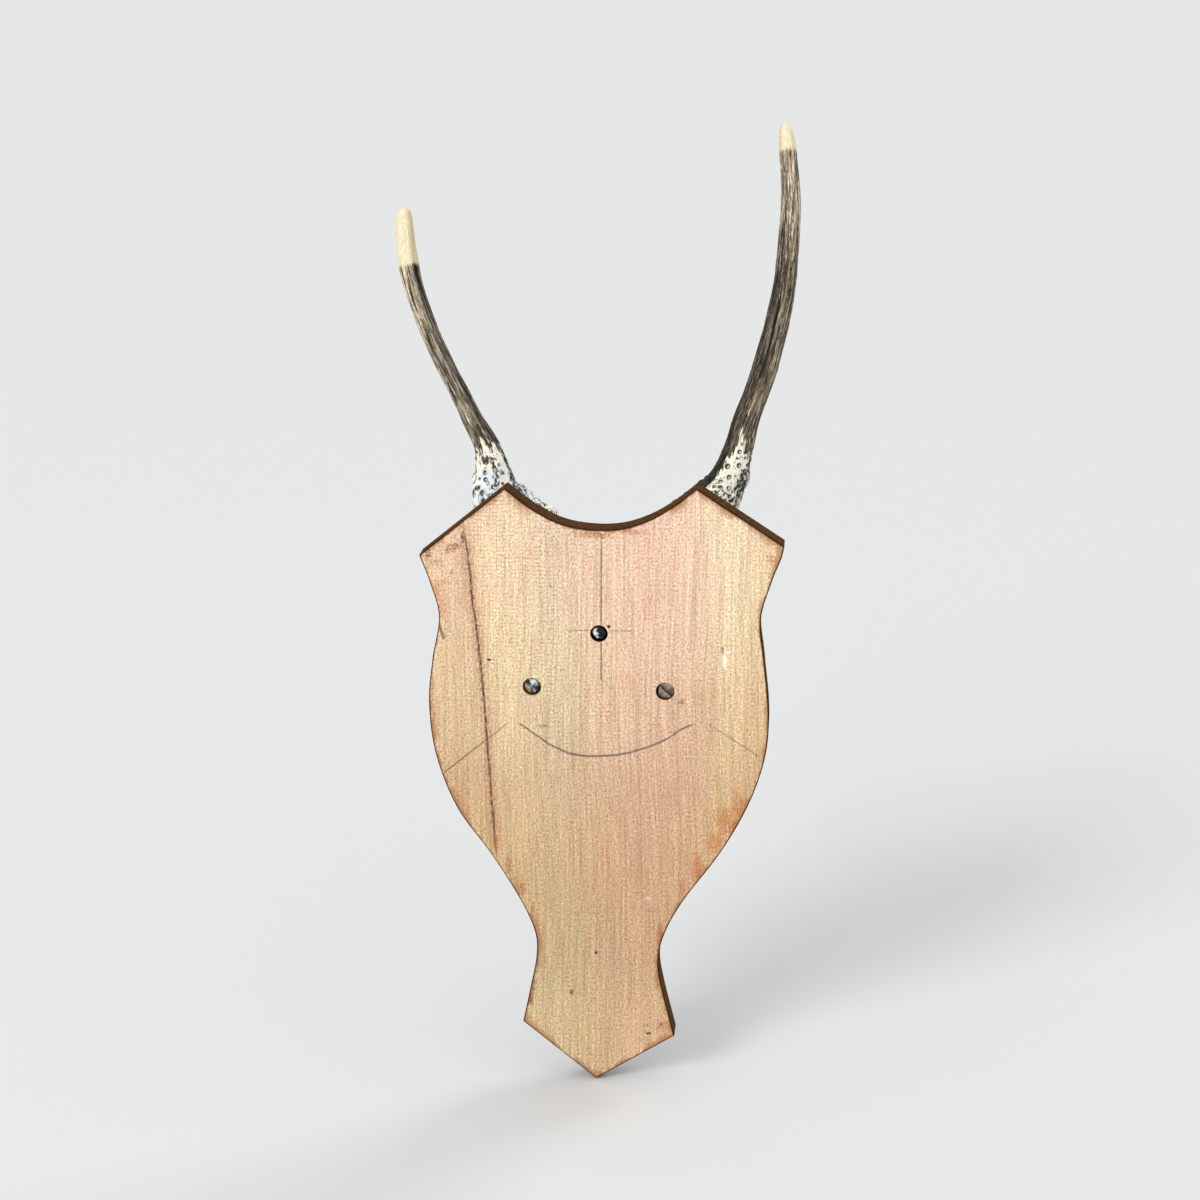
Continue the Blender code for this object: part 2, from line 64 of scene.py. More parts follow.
FLOOR_Z = -0.1575
FLOOR_RADIUS = 60.0
bpy.ops.object.select_all(action="DESELECT")
bpy.ops.mesh.primitive_circle_add(vertices=128, radius=FLOOR_RADIUS, fill_type="NGON",
                                  location=(0, 0, FLOOR_Z))
floor = bpy.context.object
floor.name = "studio_floor"
bpy.ops.object.transform_apply(location=True)
paper = bpy.data.materials.new("studio_paper")
paper.use_nodes = True
PAPER = {"Base Color": (0.662, 0.671, 0.680, 1), "Roughness": 1.0, "Specular IOR Level": 0.0}
for socket, value in PAPER.items():
    paper.node_tree.nodes["Principled BSDF"].inputs[socket].default_value = value
floor.data.materials.append(paper)

world = bpy.data.worlds.new("studio_air")
scene.world = world
world.use_nodes = True
AIR = {"Color": (0.985, 1.0, 1.0, 1), "Strength": 0.80}
for socket, value in AIR.items():
    world.node_tree.nodes["Background"].inputs[socket].default_value = value

SUNS = {                        # name: where it shines from, angle it fills, strength, colour
    "key": ((0.95, 1.25, 1.05), 20, 1.35, (1.0, 0.985, 0.955)),
    "skull_side": ((-1.1, -1.3, 1.0), 26, 1.0, (1.0, 0.985, 0.96)),
}
for sun_name, (origin, spread, strength, tint) in SUNS.items():
    sun_data = bpy.data.lights.new(sun_name, "SUN")
    sun_data.angle = math.radians(spread)
    sun_data.energy = strength
    sun_data.color = tint
    sun = bpy.data.objects.new(sun_name, sun_data)
    scene.collection.objects.link(sun)
    sun.location = origin
    sun.rotation_euler = Vector(origin).to_track_quat("Z", "Y").to_euler()

WINDOW_AT = Vector((0.50, 1.15, 0.55))
WINDOW_FACES = Vector((0, 0, 0.07))
window_light = bpy.data.lights.new("window", "AREA")
window_light.size = 0.34
window_light.energy = 1.6
window = bpy.data.objects.new("window", window_light)
scene.collection.objects.link(window)
window.location = WINDOW_AT
window.rotation_euler = (WINDOW_AT - WINDOW_FACES).to_track_quat("Z", "Y").to_euler()


# The plaque: one board of pale hardwood, sawn by hand to a shield with a narrow tail. Its back is bare
# planed wood, its edge and front are stained dark and varnished, and a quarter round runs round the front.
# The mesh is a stack of outlines, each set in a little more, so that the mouldings keep crisp mitres.

MM = 0.001
THICKNESS = 18.0
MOULD_WIDTH = 8.0
MOULD_DEPTH = 5.0
MOULD_STEP = 1.2
SIDE_CURVES = {                 # from each shoulder down to the tail's corner, in millimetres
    +1: [(85.0, 109.0), (80.1, 95.6), (76.2, 79.0), (79.7, 58.5), (81.8, 36.0), (78.8, 10.0), (69.0, -16.5),
         (53.0, -39.5), (38.7, -63.5), (31.9, -80.0), (31.4, -92.5), (34.0, -107.0), (38.2, -127.5)],
    -1: [(84.9, 117.0), (83.5, 110.8), (79.4, 99.8), (74.7, 81.5), (76.7, 61.5), (79.4, 34.0), (77.6, 12.0),
         (69.8, -12.0), (57.0, -36.0), (40.0, -60.6), (31.0, -78.5), (28.3, -93.0), (30.6, -108.5),
         (36.4, -132.2)],
}
TAIL_TIP = (2.2, -157.0)
PEAKS = {+1: (44.5, 142.0), -1: (-44.2, 143.5)}
CROWN_DIP = [(32.0, 132.5), (18.5, 125.6), (4.0, 123.1), (-10.0, 123.9), (-22.5, 128.2), (-33.5, 134.9)]
SCREW_PLACES = {"screw_top": (0.7, 73.0), "screw_left": (32.5, 46.0), "screw_right": (-30.5, 45.5)}


def smooth_path(knots, steps):
    rows = np.array(knots, float)
    ends = np.vstack([2 * rows[0] - rows[1], rows, 2 * rows[-1] - rows[-2]])
    made = []
    for i in range(1, len(ends) - 2):
        a, b, c, d = ends[i - 1:i + 3]
        for t in np.linspace(0, 1, steps, endpoint=False):
            made.append(0.5 * (2 * b + (c - a) * t + (2 * a - 5 * b + 4 * c - d) * t**2
                               + (3 * b - a - 3 * c + d) * t**3))
    return np.vstack([made, rows[-1]])


def share(values):
    return np.clip(values, 0, 1)


def outline_runs():
    side = {s: smooth_path([(s * x, z) for x, z in curve], 8) for s, curve in SIDE_CURVES.items()}
    crown = smooth_path([PEAKS[+1], *CROWN_DIP, PEAKS[-1]], 8)[::-1]
    straights = [(side[+1][-1], TAIL_TIP), (TAIL_TIP, side[-1][-1]), (side[-1][0], crown[0]),
                 (crown[-1], side[+1][0])]
    to_tip, from_tip, right_slope, left_slope = [np.linspace(p, q, 24) for p, q in straights]
    return [side[+1], to_tip, from_tip, side[-1][::-1], right_slope, crown, left_slope]


def shifted(run, distance):
    along = np.gradient(run, axis=0)
    along /= np.linalg.norm(along, axis=1)[:, None]
    return run + distance * np.column_stack([along[:, 1], -along[:, 0]])


def crossing(first, second):
    for i in range(len(first) - 2, max(-1, len(first) - 60), -1):
        for j in range(min(58, len(second) - 1)):
            p, q = first[i], second[j]
            r, s = first[i + 1] - p, second[j + 1] - q
            area = r[0] * s[1] - r[1] * s[0]
            if abs(area) < 1e-12:
                continue
            t = ((q - p)[0] * s[1] - (q - p)[1] * s[0]) / area
            u = ((q - p)[0] * r[1] - (q - p)[1] * r[0]) / area
            if 0 <= t <= 1 and 0 <= u <= 1:
                return i + t, j + u
    return len(first) - 1.0, 0.0


def set_in(runs, distance):
    if distance == 0:
        moved, ends, starts = runs, [len(r) - 1.0 for r in runs], [0.0] * len(runs)
    else:
        moved = [shifted(run, distance) for run in runs]
        pairs = [crossing(run, moved[(k + 1) % len(moved)]) for k, run in enumerate(moved)]
        ends = [pair[0] for pair in pairs]
        starts = [pairs[k - 1][1] for k in range(len(moved))]
    loop = []
    for run, start, end in zip(moved, starts, ends):
        places = np.linspace(start, end, len(run))[:-1]
        steps = np.arange(len(run))
        loop += [(np.interp(t, steps, run[:, 0]), np.interp(t, steps, run[:, 1])) for t in places]
    return loop


def ringed(name, rings):
    """A closed body through rings of points, each joined to the next, with flat ends."""
    work = bmesh.new()
    loops = [[work.verts.new(point) for point in ring] for ring in rings]
    for upper, lower in zip(loops, loops[1:]):
        for i in range(len(upper)):
            j = (i + 1) % len(upper)
            work.faces.new((upper[i], upper[j], lower[j], lower[i]))
    work.faces.new(loops[0][::-1])
    work.faces.new(loops[-1])
    bmesh.ops.recalc_face_normals(work, faces=work.faces)
    mesh = bpy.data.meshes.new(name)
    work.to_mesh(mesh)
    work.free()
    made = bpy.data.objects.new(name, mesh)
    scene.collection.objects.link(made)
    return made


def carve(thing, cutters):
    """Cuts each body in the list out of the thing, and throws the cutters away."""
    bpy.ops.object.select_all(action="DESELECT")
    for cutter in cutters:
        bite = thing.modifiers.new("bite", "BOOLEAN")
        bite.object = cutter
        bite.solver = "EXACT"
        bpy.context.view_layer.objects.active = thing
        bpy.ops.object.modifier_apply(modifier=bite.name)
    for cutter in cutters:
        bpy.data.objects.remove(cutter)


def drill(place, radius, length, sides, way=Vector((0, 1, 0))):
    """A round cutter with its middle at a place, all in millimetres."""
    bpy.ops.object.select_all(action="DESELECT")
    bpy.ops.mesh.primitive_cylinder_add(vertices=sides, radius=radius * MM, depth=length * MM,
                                        location=Vector(place) * MM)
    bpy.context.object.rotation_euler = way.to_track_quat("Z", "Y").to_euler()
    return bpy.context.object


def pick(thing):
    bpy.ops.object.select_all(action="DESELECT")
    thing.select_set(True)
    bpy.context.view_layer.objects.active = thing


MOULD_TOP = -THICKNESS + MOULD_DEPTH
levels = [(9.0, 0), (6.0, 0), (3.5, 0), (1.8, 0), (0.7, 0), (0.45, -0.04), (0.2, -0.2), (0, -0.5), (0, -3),
          (0, -7), (0, -11), (0, MOULD_TOP + 0.3), (0.3, MOULD_TOP), (MOULD_STEP - 0.2, MOULD_TOP)]
for angle in range(0, 91, 9):
    a = math.radians(angle)
    levels.append((MOULD_STEP + (MOULD_WIDTH - MOULD_STEP) * (1 - math.cos(a)),
                   -THICKNESS + MOULD_DEPTH * (1 - math.sin(a))))
levels += [(9.0, -THICKNESS), (12.0, -THICKNESS)]
runs = outline_runs()
board = ringed("plaque_board", [[(x * MM, depth * MM, z * MM) for x, z in set_in(runs, inner)]
                                for inner, depth in levels])

SEAT_RADII = {"screw_top": 4.15, "screw_left": 4.4, "screw_right": 4.4}
SEAT_DEPTH = 3.9
SHANK_HOLE = 2.4
drills = []
for screw_name, (x, z) in SCREW_PLACES.items():
    drills.append(drill((x, 0, z), SEAT_RADII[screw_name], 2 * SEAT_DEPTH, 64))
    drills.append(drill((x, 0, z), SHANK_HOLE, 60, 64))
carve(board, drills)

# How far each point of the back lies from the edge, for the stain that crept over it.
outline = np.array(set_in(runs, 0))
points = np.array([v.co for v in board.data.vertices]) / MM
spans = np.roll(outline, -1, axis=0) - outline
reach = np.full(len(points), 1e9)
for a, d in zip(outline, spans):
    t = share((points[:, [0, 2]] - a) @ d / (d @ d))
    reach = np.minimum(reach, np.linalg.norm(points[:, [0, 2]] - a - t[:, None] * d, axis=1))
reach[points[:, 1] < -0.1] = -1.0
board.data.attributes.new("from_edge", "FLOAT", "POINT").data.foreach_set("value", np.minimum(reach, 9.0))


class Wire:
    """What comes out of a shader node. Sums and products of wires add the nodes for them."""

    def __init__(self, socket):
        self.socket = socket

    def __add__(self, other):
        return calc("ADD", self, other)

    def __sub__(self, other):
        return calc("SUBTRACT", self, other)

    def __rsub__(self, other):
        return calc("SUBTRACT", other, self)

    def __mul__(self, other):
        return calc("MULTIPLY", self, other)

    def __truediv__(self, other):
        return calc("DIVIDE", self, other)

    def __rtruediv__(self, other):
        return calc("DIVIDE", other, self)

    def __neg__(self):
        return calc("MULTIPLY", self, -1.0)

    def __abs__(self):
        return calc("ABSOLUTE", self)

    __radd__ = __add__
    __rmul__ = __mul__


def add_node(kind, inputs, **settings):
    """A new node in the tree of the wires that run into it."""
    tree = next(value.socket.id_data for value in inputs.values() if isinstance(value, Wire))
    made = tree.nodes.new("ShaderNode" + kind)
    for key, value in settings.items():
        setattr(made, key, value)
    for key, value in inputs.items():
        if isinstance(value, Wire):
            tree.links.new(value.socket, made.inputs[key])
        else:
            made.inputs[key].default_value = value
    return made


def node(kind, inputs, output=0, **settings):
    return Wire(add_node(kind, inputs, **settings).outputs[output])


def feed(wire, socket):
    socket.id_data.links.new(wire.socket, socket)


def calc(operation, *values):
    return node("Math", dict(enumerate(values)), operation=operation)


def vector(operation, first, second):
    into = {0: first, "Scale" if operation == "SCALE" else 1: second}
    output = "Value" if operation in ("DOT_PRODUCT", "DISTANCE") else "Vector"
    return node("VectorMath", into, output, operation=operation)


def split(wire):
    made = add_node("SeparateXYZ", {0: wire})
    return {axis: Wire(made.outputs[axis]) for axis in "XYZ"}


def blend(factor, under, over, blend_type="MIX"):
    return node("Mix", {0: factor, 6: under, 7: over}, 2, data_type="RGBA", blend_type=blend_type)


def tinted(under, mask, strength, colour):
    return blend(mask * strength, under, paint(*colour))


def ramp(factor, stops, interpolation="LINEAR"):
    made = add_node("ValToRGB", {"Fac": factor})
    made.color_ramp.interpolation = interpolation
    while len(made.color_ramp.elements) < len(stops):
        made.color_ramp.elements.new(0.5)
    for element, (place, colour) in zip(made.color_ramp.elements, stops):
        element.position = place
        element.color = paint(*colour) if isinstance(colour, tuple) else (colour, colour, colour, 1)
    return Wire(made.outputs["Color"])


def rise(value, low, high):
    into = {"Value": value, "From Min": low, "From Max": high}
    return node("MapRange", into, interpolation_type="SMOOTHSTEP")


def fall(value, low, high):
    return 1.0 - rise(value, low, high)


def traced(value, knots):
    """A smooth curve through the knots, both ways from 0 to 1."""
    made = add_node("FloatCurve", {"Value": value})
    curve = made.mapping.curves[0]
    curve.points[0].location, curve.points[1].location = knots[0], knots[-1]
    for here, height in knots[1:-1]:
        curve.points.new(here, height)
    made.mapping.update()
    return Wire(made.outputs[0])


def stretch(place, factors, shift=(0, 0, 0)):
    return vector("ADD", vector("MULTIPLY", place, factors), shift)


def mottle(place, detail=2.0, roughness=0.5):
    into = {"Vector": place, "Scale": 1.0, "Detail": detail, "Roughness": roughness}
    return node("TexNoise", into, "Fac")


def in_mm(tree):
    """The place on the object, in millimetres."""
    return stretch(Wire(tree.nodes.new("ShaderNodeTexCoord").outputs["Object"]), (1000, 1000, 1000))


def stored(tree, name, output="Fac"):
    """A value kept at each point of the mesh."""
    made = tree.nodes.new("ShaderNodeAttribute")
    made.attribute_name = name
    return Wire(made.outputs[output])


def paint(red, green, blue):
    def linear(c):
        c /= 255
        return c / 12.92 if c <= 0.04045 else ((c + 0.055) / 1.055) ** 2.4
    return (linear(red), linear(green), linear(blue), 1)


def new_group(name, inputs, outputs):
    """A node group, the wires that come into it, and the sockets that it gives out."""
    tree = bpy.data.node_groups.new(name, "ShaderNodeTree")
    for label, kind in inputs.items():
        tree.interface.new_socket(label, in_out="INPUT", socket_type="NodeSocket" + kind)
    for label in outputs:
        tree.interface.new_socket(label, in_out="OUTPUT", socket_type="NodeSocketFloat")
    given = tree.nodes.new("NodeGroupInput").outputs
    return tree, {label: Wire(given[label]) for label in inputs}, tree.nodes.new("NodeGroupOutput").inputs


def use_group(group, inputs):
    made = add_node("Group", inputs, node_tree=group)
    return {socket.name: Wire(socket) for socket in made.outputs}


def new_material(name, thing):
    """A fresh material, the only one on the thing, with its node tree and its shader's inputs."""
    made = bpy.data.materials.new(name)
    made.use_nodes = True
    thing.data.materials.clear()
    thing.data.materials.append(made)
    return made.node_tree, made.node_tree.nodes["Principled BSDF"].inputs


def roughen(height, strength, depth, shader):
    feed(node("Bump", {"Height": height, "Strength": strength, "Distance": depth * MM}), shader["Normal"])


# Wood grain that runs up the board, from a place given in millimetres.
grain_group, given, out = new_group("board_grain", {"Place": "Vector"},
                                    ["Rings", "Fibre", "Lines", "Pores", "Speckle"])
sway = mottle(stretch(given["Place"], (0.012, 0.03, 0.006)), 1.0)
lean = node("CombineXYZ", {"X": (sway - 0.5) * 14.0})
swayed = vector("ADD", given["Place"], lean)
feed(mottle(stretch(swayed, (0.13, 0.13, 0.0035)), 2.0), out["Rings"])
feed(mottle(stretch(swayed, (0.85, 0.85, 0.016)), 3.0, 0.65), out["Fibre"])
wavy = mottle(stretch(swayed, (0.62, 0.62, 0.022), (4, 0, 8)), 2.0, 0.55)
feed(fall(abs(wavy - 0.5), 0.0, 0.045), out["Lines"])
ticks = mottle(stretch(swayed, (2.6, 2.6, 0.3)), 1.0)
feed(rise(ticks, 0.6, 0.74), out["Pores"])
feed(mottle(stretch(swayed, (1.05, 1.05, 0.85)), 4.0, 0.85), out["Speckle"])

# A drawn stroke between two points of the board's back, a little uneven like pencil on grain.
stroke_group, given, out = new_group(
    "stroke", {"Place": "Vector", "Start": "Vector", "End": "Vector", "Width": "Float"}, ["Mark"])
path = vector("SUBTRACT", given["End"], given["Start"])
offset = vector("SUBTRACT", given["Place"], given["Start"])
reach_along = vector("DOT_PRODUCT", offset, path) / vector("DOT_PRODUCT", path, path)
held = node("Clamp", {"Value": reach_along})
foot = vector("SCALE", path, held)
gap = vector("DISTANCE", offset, foot)
soft_edge = 1.0 - gap / given["Width"]
feed(node("Clamp", {"Value": soft_edge * 1.6}), out["Mark"])

t, wood_shader = new_material("shield_wood", board)
place = in_mm(t)
axes = split(place)
grain = use_group(grain_group, {"Place": place})
from_edge = stored(t, "from_edge")

# Broad bands of peach, cream and pink across the board, paler above and tanner towards the tail; the paling
# upwards is partly the wood's own tone and partly painted light from above.
wander = (mottle(stretch(place, (0.02, 0.02, 0.008)), 2.0) - 0.5) * 26.0
across = (85.0 - axes["X"] + wander) / 170.0
bare = ramp(across, [
    (0.0, (234, 200, 170)), (0.1, (236, 205, 175)), (0.24, (246, 220, 188)), (0.38, (237, 213, 187)),
    (0.52, (241, 208, 185)), (0.63, (243, 206, 186)), (0.74, (242, 209, 187)), (0.84, (247, 225, 193)),
    (1.0, (240, 212, 176))], "EASE")
# Partly wood tone, partly painted light: brighter towards the top, darker and yellower towards the tail.
height_tone_and_light = ramp((axes["Z"] + 157.0) / 300.0, [
    (0.0, (228, 226, 204)), (0.083, (225, 223, 200)), (0.207, (213, 211, 191)), (0.33, (215, 208, 187)),
    (0.493, (222, 216, 201)), (0.69, (241, 244, 234)), (0.855, (251, 250, 247)), (1.0, (254, 254, 252))])
bare = blend(1.0, bare, height_tone_and_light, "MULTIPLY")
low_right = fall(axes["Z"], 40.0, 90.0) * fall(axes["X"], -62.0, -15.0)
bare = blend(low_right, bare, paint(250, 241, 240), "MULTIPLY")
rings_tone = ramp(grain["Rings"], [(0.3, 1.05), (0.5, 1.0), (0.72, 0.92)])
bare = blend(0.8, bare, rings_tone, "MULTIPLY")
tint_noise = mottle(stretch(place, (0.3, 0.3, 0.05), (11, 0, 2)), 3.0, 0.7)
tint = ramp(tint_noise, [(0.32, (255, 240, 234)), (0.5, (255, 255, 255)), (0.68, (255, 254, 240))])
bare = blend(1.0, bare, tint, "MULTIPLY")
fibre_tone = ramp(grain["Fibre"], [(0.28, 0.7), (0.45, 0.94), (0.58, 1.06), (0.76, 1.2)])
bare = blend(1.0, bare, fibre_tone, "MULTIPLY")
speckle_tone = ramp(grain["Speckle"], [(0.32, 0.22), (0.45, 0.84), (0.55, 1.14), (0.67, 1.62)])
bare = blend(1.0, bare, speckle_tone, "MULTIPLY")
line_strength = grain["Lines"] * rise(grain["Speckle"], 0.34, 0.6)
bare = tinted(bare, line_strength, 0.36, (172, 120, 88))
bare = tinted(bare, grain["Pores"], 0.34, (160, 112, 78))

# Fine ripples left by the planer, strongest in the upper half, broken into short dashes by the grain. Their
# brown tint is painted shade of their low relief, which also feeds the bump.
ripple_place = (axes["Z"] * 3.4 + mottle(stretch(place, (0.05, 0.06, 0.03)), 3.0) * 11.0
                + mottle(stretch(place, (0.55, 0.4, 0.03), (0, 6, 0)), 2.0) * 9.0)
ripple = calc("SINE", ripple_place)
patchy = mottle(stretch(place, (0.05, 0.05, 0.02), (7, 0, 3)), 2.0)
ripple_zone = rise(patchy, 0.34, 0.6) * rise(axes["Z"], -50.0, 60.0)
left_more = 0.55 + rise(axes["X"], -30.0, 30.0) * 0.45
ripple_break = rise(mottle(stretch(place, (0.42, 0.4, 0.75), (1, 5, 2)), 3.0, 0.7), 0.42, 0.58)
ripple_mark_and_shade = ripple_zone * left_more * ripple_break * rise(ripple, 0.25, 0.95)
# Painted shade: the ripples are darkened in colour, as light across their relief would show them.
bare = tinted(bare, ripple_mark_and_shade, 0.5, (160, 112, 80))

# The mineral streak that crosses the left side: a broken dark thread, with reddish dashes beside it.
streak_x = traced((axes["Z"] + 45.0) / 170.0, [
    (0, 0.22), (0.04, 0.26), (0.195, 0.352), (0.335, 0.428), (0.5, 0.512), (0.714, 0.678), (0.782, 0.752),
    (0.852, 0.793), (0.935, 0.865), (1, 0.95)])
streak_line = streak_x * 20.0 + 45.2
streak_wave = (mottle(stretch(place, (0.01, 0.01, 0.3)), 3.0, 0.7) - 0.5) * 0.9
streak_gap = abs(axes["X"] - streak_line + streak_wave)
streak_end = rise(axes["Z"], -46.0, -30.0) * (1.0 - rise(axes["Z"], 112.0, 124.0) * 0.55)
dashes = rise(mottle(stretch(place, (1.3, 1.3, 0.42), (3, 0, 0)), 4.0, 0.75), 0.46, 0.58)
width_noise = mottle(stretch(place, (0.02, 0.02, 0.12), (0, 0, 5)), 3.0, 0.7)
streak_breaks = rise(mottle(stretch(place, (0.8, 0.8, 0.33), (8, 0, 1)), 4.0, 0.75), 0.3, 0.56)
streak_thread = fall(streak_gap / (0.34 + width_noise * 1.05), 0.25, 1.0) * streak_end * streak_breaks
blush = fall(streak_gap, 0.5, 5.5) * streak_end
bare = tinted(bare, blush, 0.2, (200, 130, 104))
bare = tinted(bare, blush * blush * dashes, 0.66, (136, 82, 62))
bare = tinted(bare, streak_thread, 0.9, (78, 52, 48))

# Pencil: a centre line and cross line through the top screw, and a trial outline of the crown lower down.
flat_place = vector("MULTIPLY", place, (1, 0, 1))
PENCIL = [                      # start x, z, end x, z in millimetres, width, strength
    (-0.4, 121.5, -0.4, 77.6, 0.6, 0.72), (-0.3, 68.4, -0.3, 50.5, 0.56, 0.8),
    (15.8, 74.2, 4.0, 74.5, 0.44, 0.46), (-4.5, 74.6, -14.8, 74.8, 0.44, 0.5),
    (74.8, 1.9, 57.7, 16.2, 0.56, 0.74), (57.7, 16.2, 44.6, 27.1, 0.5, 0.62),
    (52.0, 32.8, 40.0, 29.8, 0.44, 0.22), (-50.4, 30.1, -61.3, 23.3, 0.44, 0.46),
    (-61.3, 23.3, -74.2, 15.0, 0.48, 0.6), (-2.0, 49.8, -4.4, 46.2, 0.6, 0.3),
    (-3.0, 52.0, -7.0, 44.0, 0.5, 0.16), (15.0, -68.0, 3.0, -68.2, 0.4, 0.18),
    (-22.5, -66.6, -29.0, -67.0, 0.4, 0.18),
]
pencil = None
for ax, az, bx, bz, width, strength in PENCIL:
    drawn = {"Place": flat_place, "Start": (ax, 0, az), "End": (bx, 0, bz), "Width": width}
    mark = use_group(stroke_group, drawn)["Mark"] * strength
    pencil = mark if pencil is None else calc("MAXIMUM", pencil, mark)
dip = traced((axes["X"] + 45.0) / 90.0, [
    (0, 0.94), (0.014, 0.927), (0.175, 0.53), (0.287, 0.333), (0.397, 0.203), (0.487, 0.158),
    (0.614, 0.155), (0.731, 0.31), (0.831, 0.56), (0.931, 0.845), (1, 0.98)])
dip_line = dip * 22.0 + 9.0
dip_gap = abs(axes["Z"] - dip_line)
dip_ends = rise(axes["X"], -44.2, -42.8) * fall(axes["X"], 37.5, 39.5)
pencil = calc("MAXIMUM", pencil, fall(dip_gap, 0.22, 0.86) * (dip_ends * 0.84))
rubbed = ramp(mottle(stretch(place, (1.4, 1.4, 1.4)), 2.0, 0.7), [(0.3, 0.35), (0.55, 1.0)])
bare = blend(pencil * rubbed, bare, paint(66, 62, 68))

# A short brown crack that runs in from the left edge.
brown_crack = {"Place": flat_place, "Start": (77.4, 0, 80.5), "End": (74.2, 0, 69.0), "Width": 1.0}
bare = tinted(bare, use_group(stroke_group, brown_crack)["Mark"], 0.78, (120, 74, 40))

# Small marks of use: dents with dirt in them, a knot speck, drips of stain.
SPOTS = [                       # x, z, half width, half height in millimetres, strength, colour
    (52.6, 58.8, 1.25, 0.8, 1.0, (46, 30, 24)), (-3.9, 76.6, 0.95, 0.95, 1.0, (26, 22, 22)),
    (23.2, 95.4, 0.5, 1.3, 0.7, (110, 76, 54)), (2.2, -89.2, 0.8, 0.9, 1.0, (36, 28, 24)),
    (14.0, -110.6, 1.3, 1.9, 0.72, (110, 84, 52)), (-29.8, -126.2, 1.0, 0.9, 0.85, (64, 40, 30)),
    (-23.6, -131.4, 1.4, 0.8, 0.85, (66, 42, 36)), (-22.6, -127.0, 1.2, 0.9, 0.45, (120, 76, 60)),
    (-38.2, 40.4, 1.8, 1.4, 0.8, (150, 96, 60)), (-58.3, 61.0, 0.8, 3.4, 0.88, (255, 250, 240)),
    (-59.6, 65.4, 1.7, 0.7, 0.7, (255, 250, 240)), (-57.0, 66.6, 0.9, 1.6, 0.6, (96, 72, 56)),
    (-23.0, -59.8, 1.8, 0.9, 0.5, (240, 226, 208)), (-40.0, -8.0, 0.5, 1.6, 0.4, (240, 226, 208)),
    (27.0, 26.5, 2.6, 1.2, 0.56, (140, 100, 104)), (31.0, 30.0, 1.4, 0.6, 0.46, (120, 92, 90)),
    (80.0, 60.0, 1.3, 8.0, 0.55, (180, 112, 66)), (81.0, 42.0, 1.3, 10.0, 0.55, (180, 112, 66)),
    (80.2, 23.0, 1.3, 9.0, 0.5, (180, 112, 66)), (81.0, 110.8, 2.4, 3.4, 0.74, (136, 84, 62)),
    (77.6, 106.0, 3.2, 2.4, 0.42, (170, 108, 74)), (68.0, 113.8, 3.2, 1.8, 0.72, (140, 86, 54)),
    (71.6, 111.4, 2.2, 1.5, 0.56, (140, 86, 54)), (69.6, 101.4, 0.7, 2.2, 0.62, (124, 80, 56)),
    (64.4, 117.6, 0.9, 3.2, 0.66, (84, 56, 50)), (76.8, 92.0, 2.2, 6.0, 0.5, (196, 122, 76)),
    (74.8, 84.0, 1.6, 7.0, 0.46, (190, 112, 66)), (73.4, 96.4, 4.0, 1.6, 0.34, (190, 122, 78)),
    (2.6, 120.6, 11.0, 1.7, 0.62, (168, 104, 66)), (-14.0, 122.2, 9.0, 1.3, 0.44, (176, 110, 72)),
    (50.8, -34.0, 1.6, 7.0, 0.6, (168, 106, 62)), (44.6, -45.0, 1.5, 6.0, 0.6, (168, 106, 62)),
    (38.0, -56.6, 1.3, 6.0, 0.6, (164, 102, 58)), (33.2, -68.0, 1.2, 6.0, 0.55, (168, 106, 60)),
    (33.4, -106.0, 1.4, 7.5, 0.8, (140, 90, 48)), (34.8, -115.0, 1.7, 4.6, 0.86, (120, 74, 36)),
    (-29.2, -80.0, 1.8, 10.0, 0.66, (170, 100, 64)), (-27.6, -92.0, 1.4, 6.0, 0.5, (176, 106, 70)),
    (-60.0, -18.0, 6.5, 7.5, 0.62, (186, 116, 66)), (-55.0, -30.0, 5.0, 6.0, 0.58, (188, 118, 68)),
    (-65.5, -10.0, 3.5, 7.0, 0.5, (186, 116, 66)), (-46.5, -42.0, 2.8, 7.0, 0.62, (182, 108, 62)),
    (-39.4, -54.0, 1.8, 6.0, 0.5, (182, 108, 62)), (-31.4, -127.2, 4.6, 3.6, 0.4, (176, 108, 84)),
    (-79.5, 111.0, 3.0, 2.6, 0.46, (176, 110, 70)),
]
torn = mottle(stretch(place, (0.3, 0.3, 0.22), (9, 1, 0)), 4.0, 0.75)
ragged = (torn - 0.5 + (grain["Speckle"] - 0.5)) * 1.7
in_dark_grain = 1.3 - rise(grain["Speckle"], 0.42, 0.58) * 0.6
SMALL_SPOT = 1.3
for x, z, half_wide, half_high, strength, colour in SPOTS:
    local = vector("SUBTRACT", flat_place, (x, 0, z))
    local = vector("MULTIPLY", local, (1 / half_wide, 0, 1 / half_high))
    from_spot = vector("DISTANCE", local, (0, 0, 0))
    if max(half_wide, half_high) < SMALL_SPOT:
        spot = fall(from_spot + ragged * 0.25, 0.35, 1.25) * strength
    else:
        spot = fall(from_spot + ragged, 0.35, 1.25) * strength * in_dark_grain
    bare = blend(spot, bare, paint(*colour))

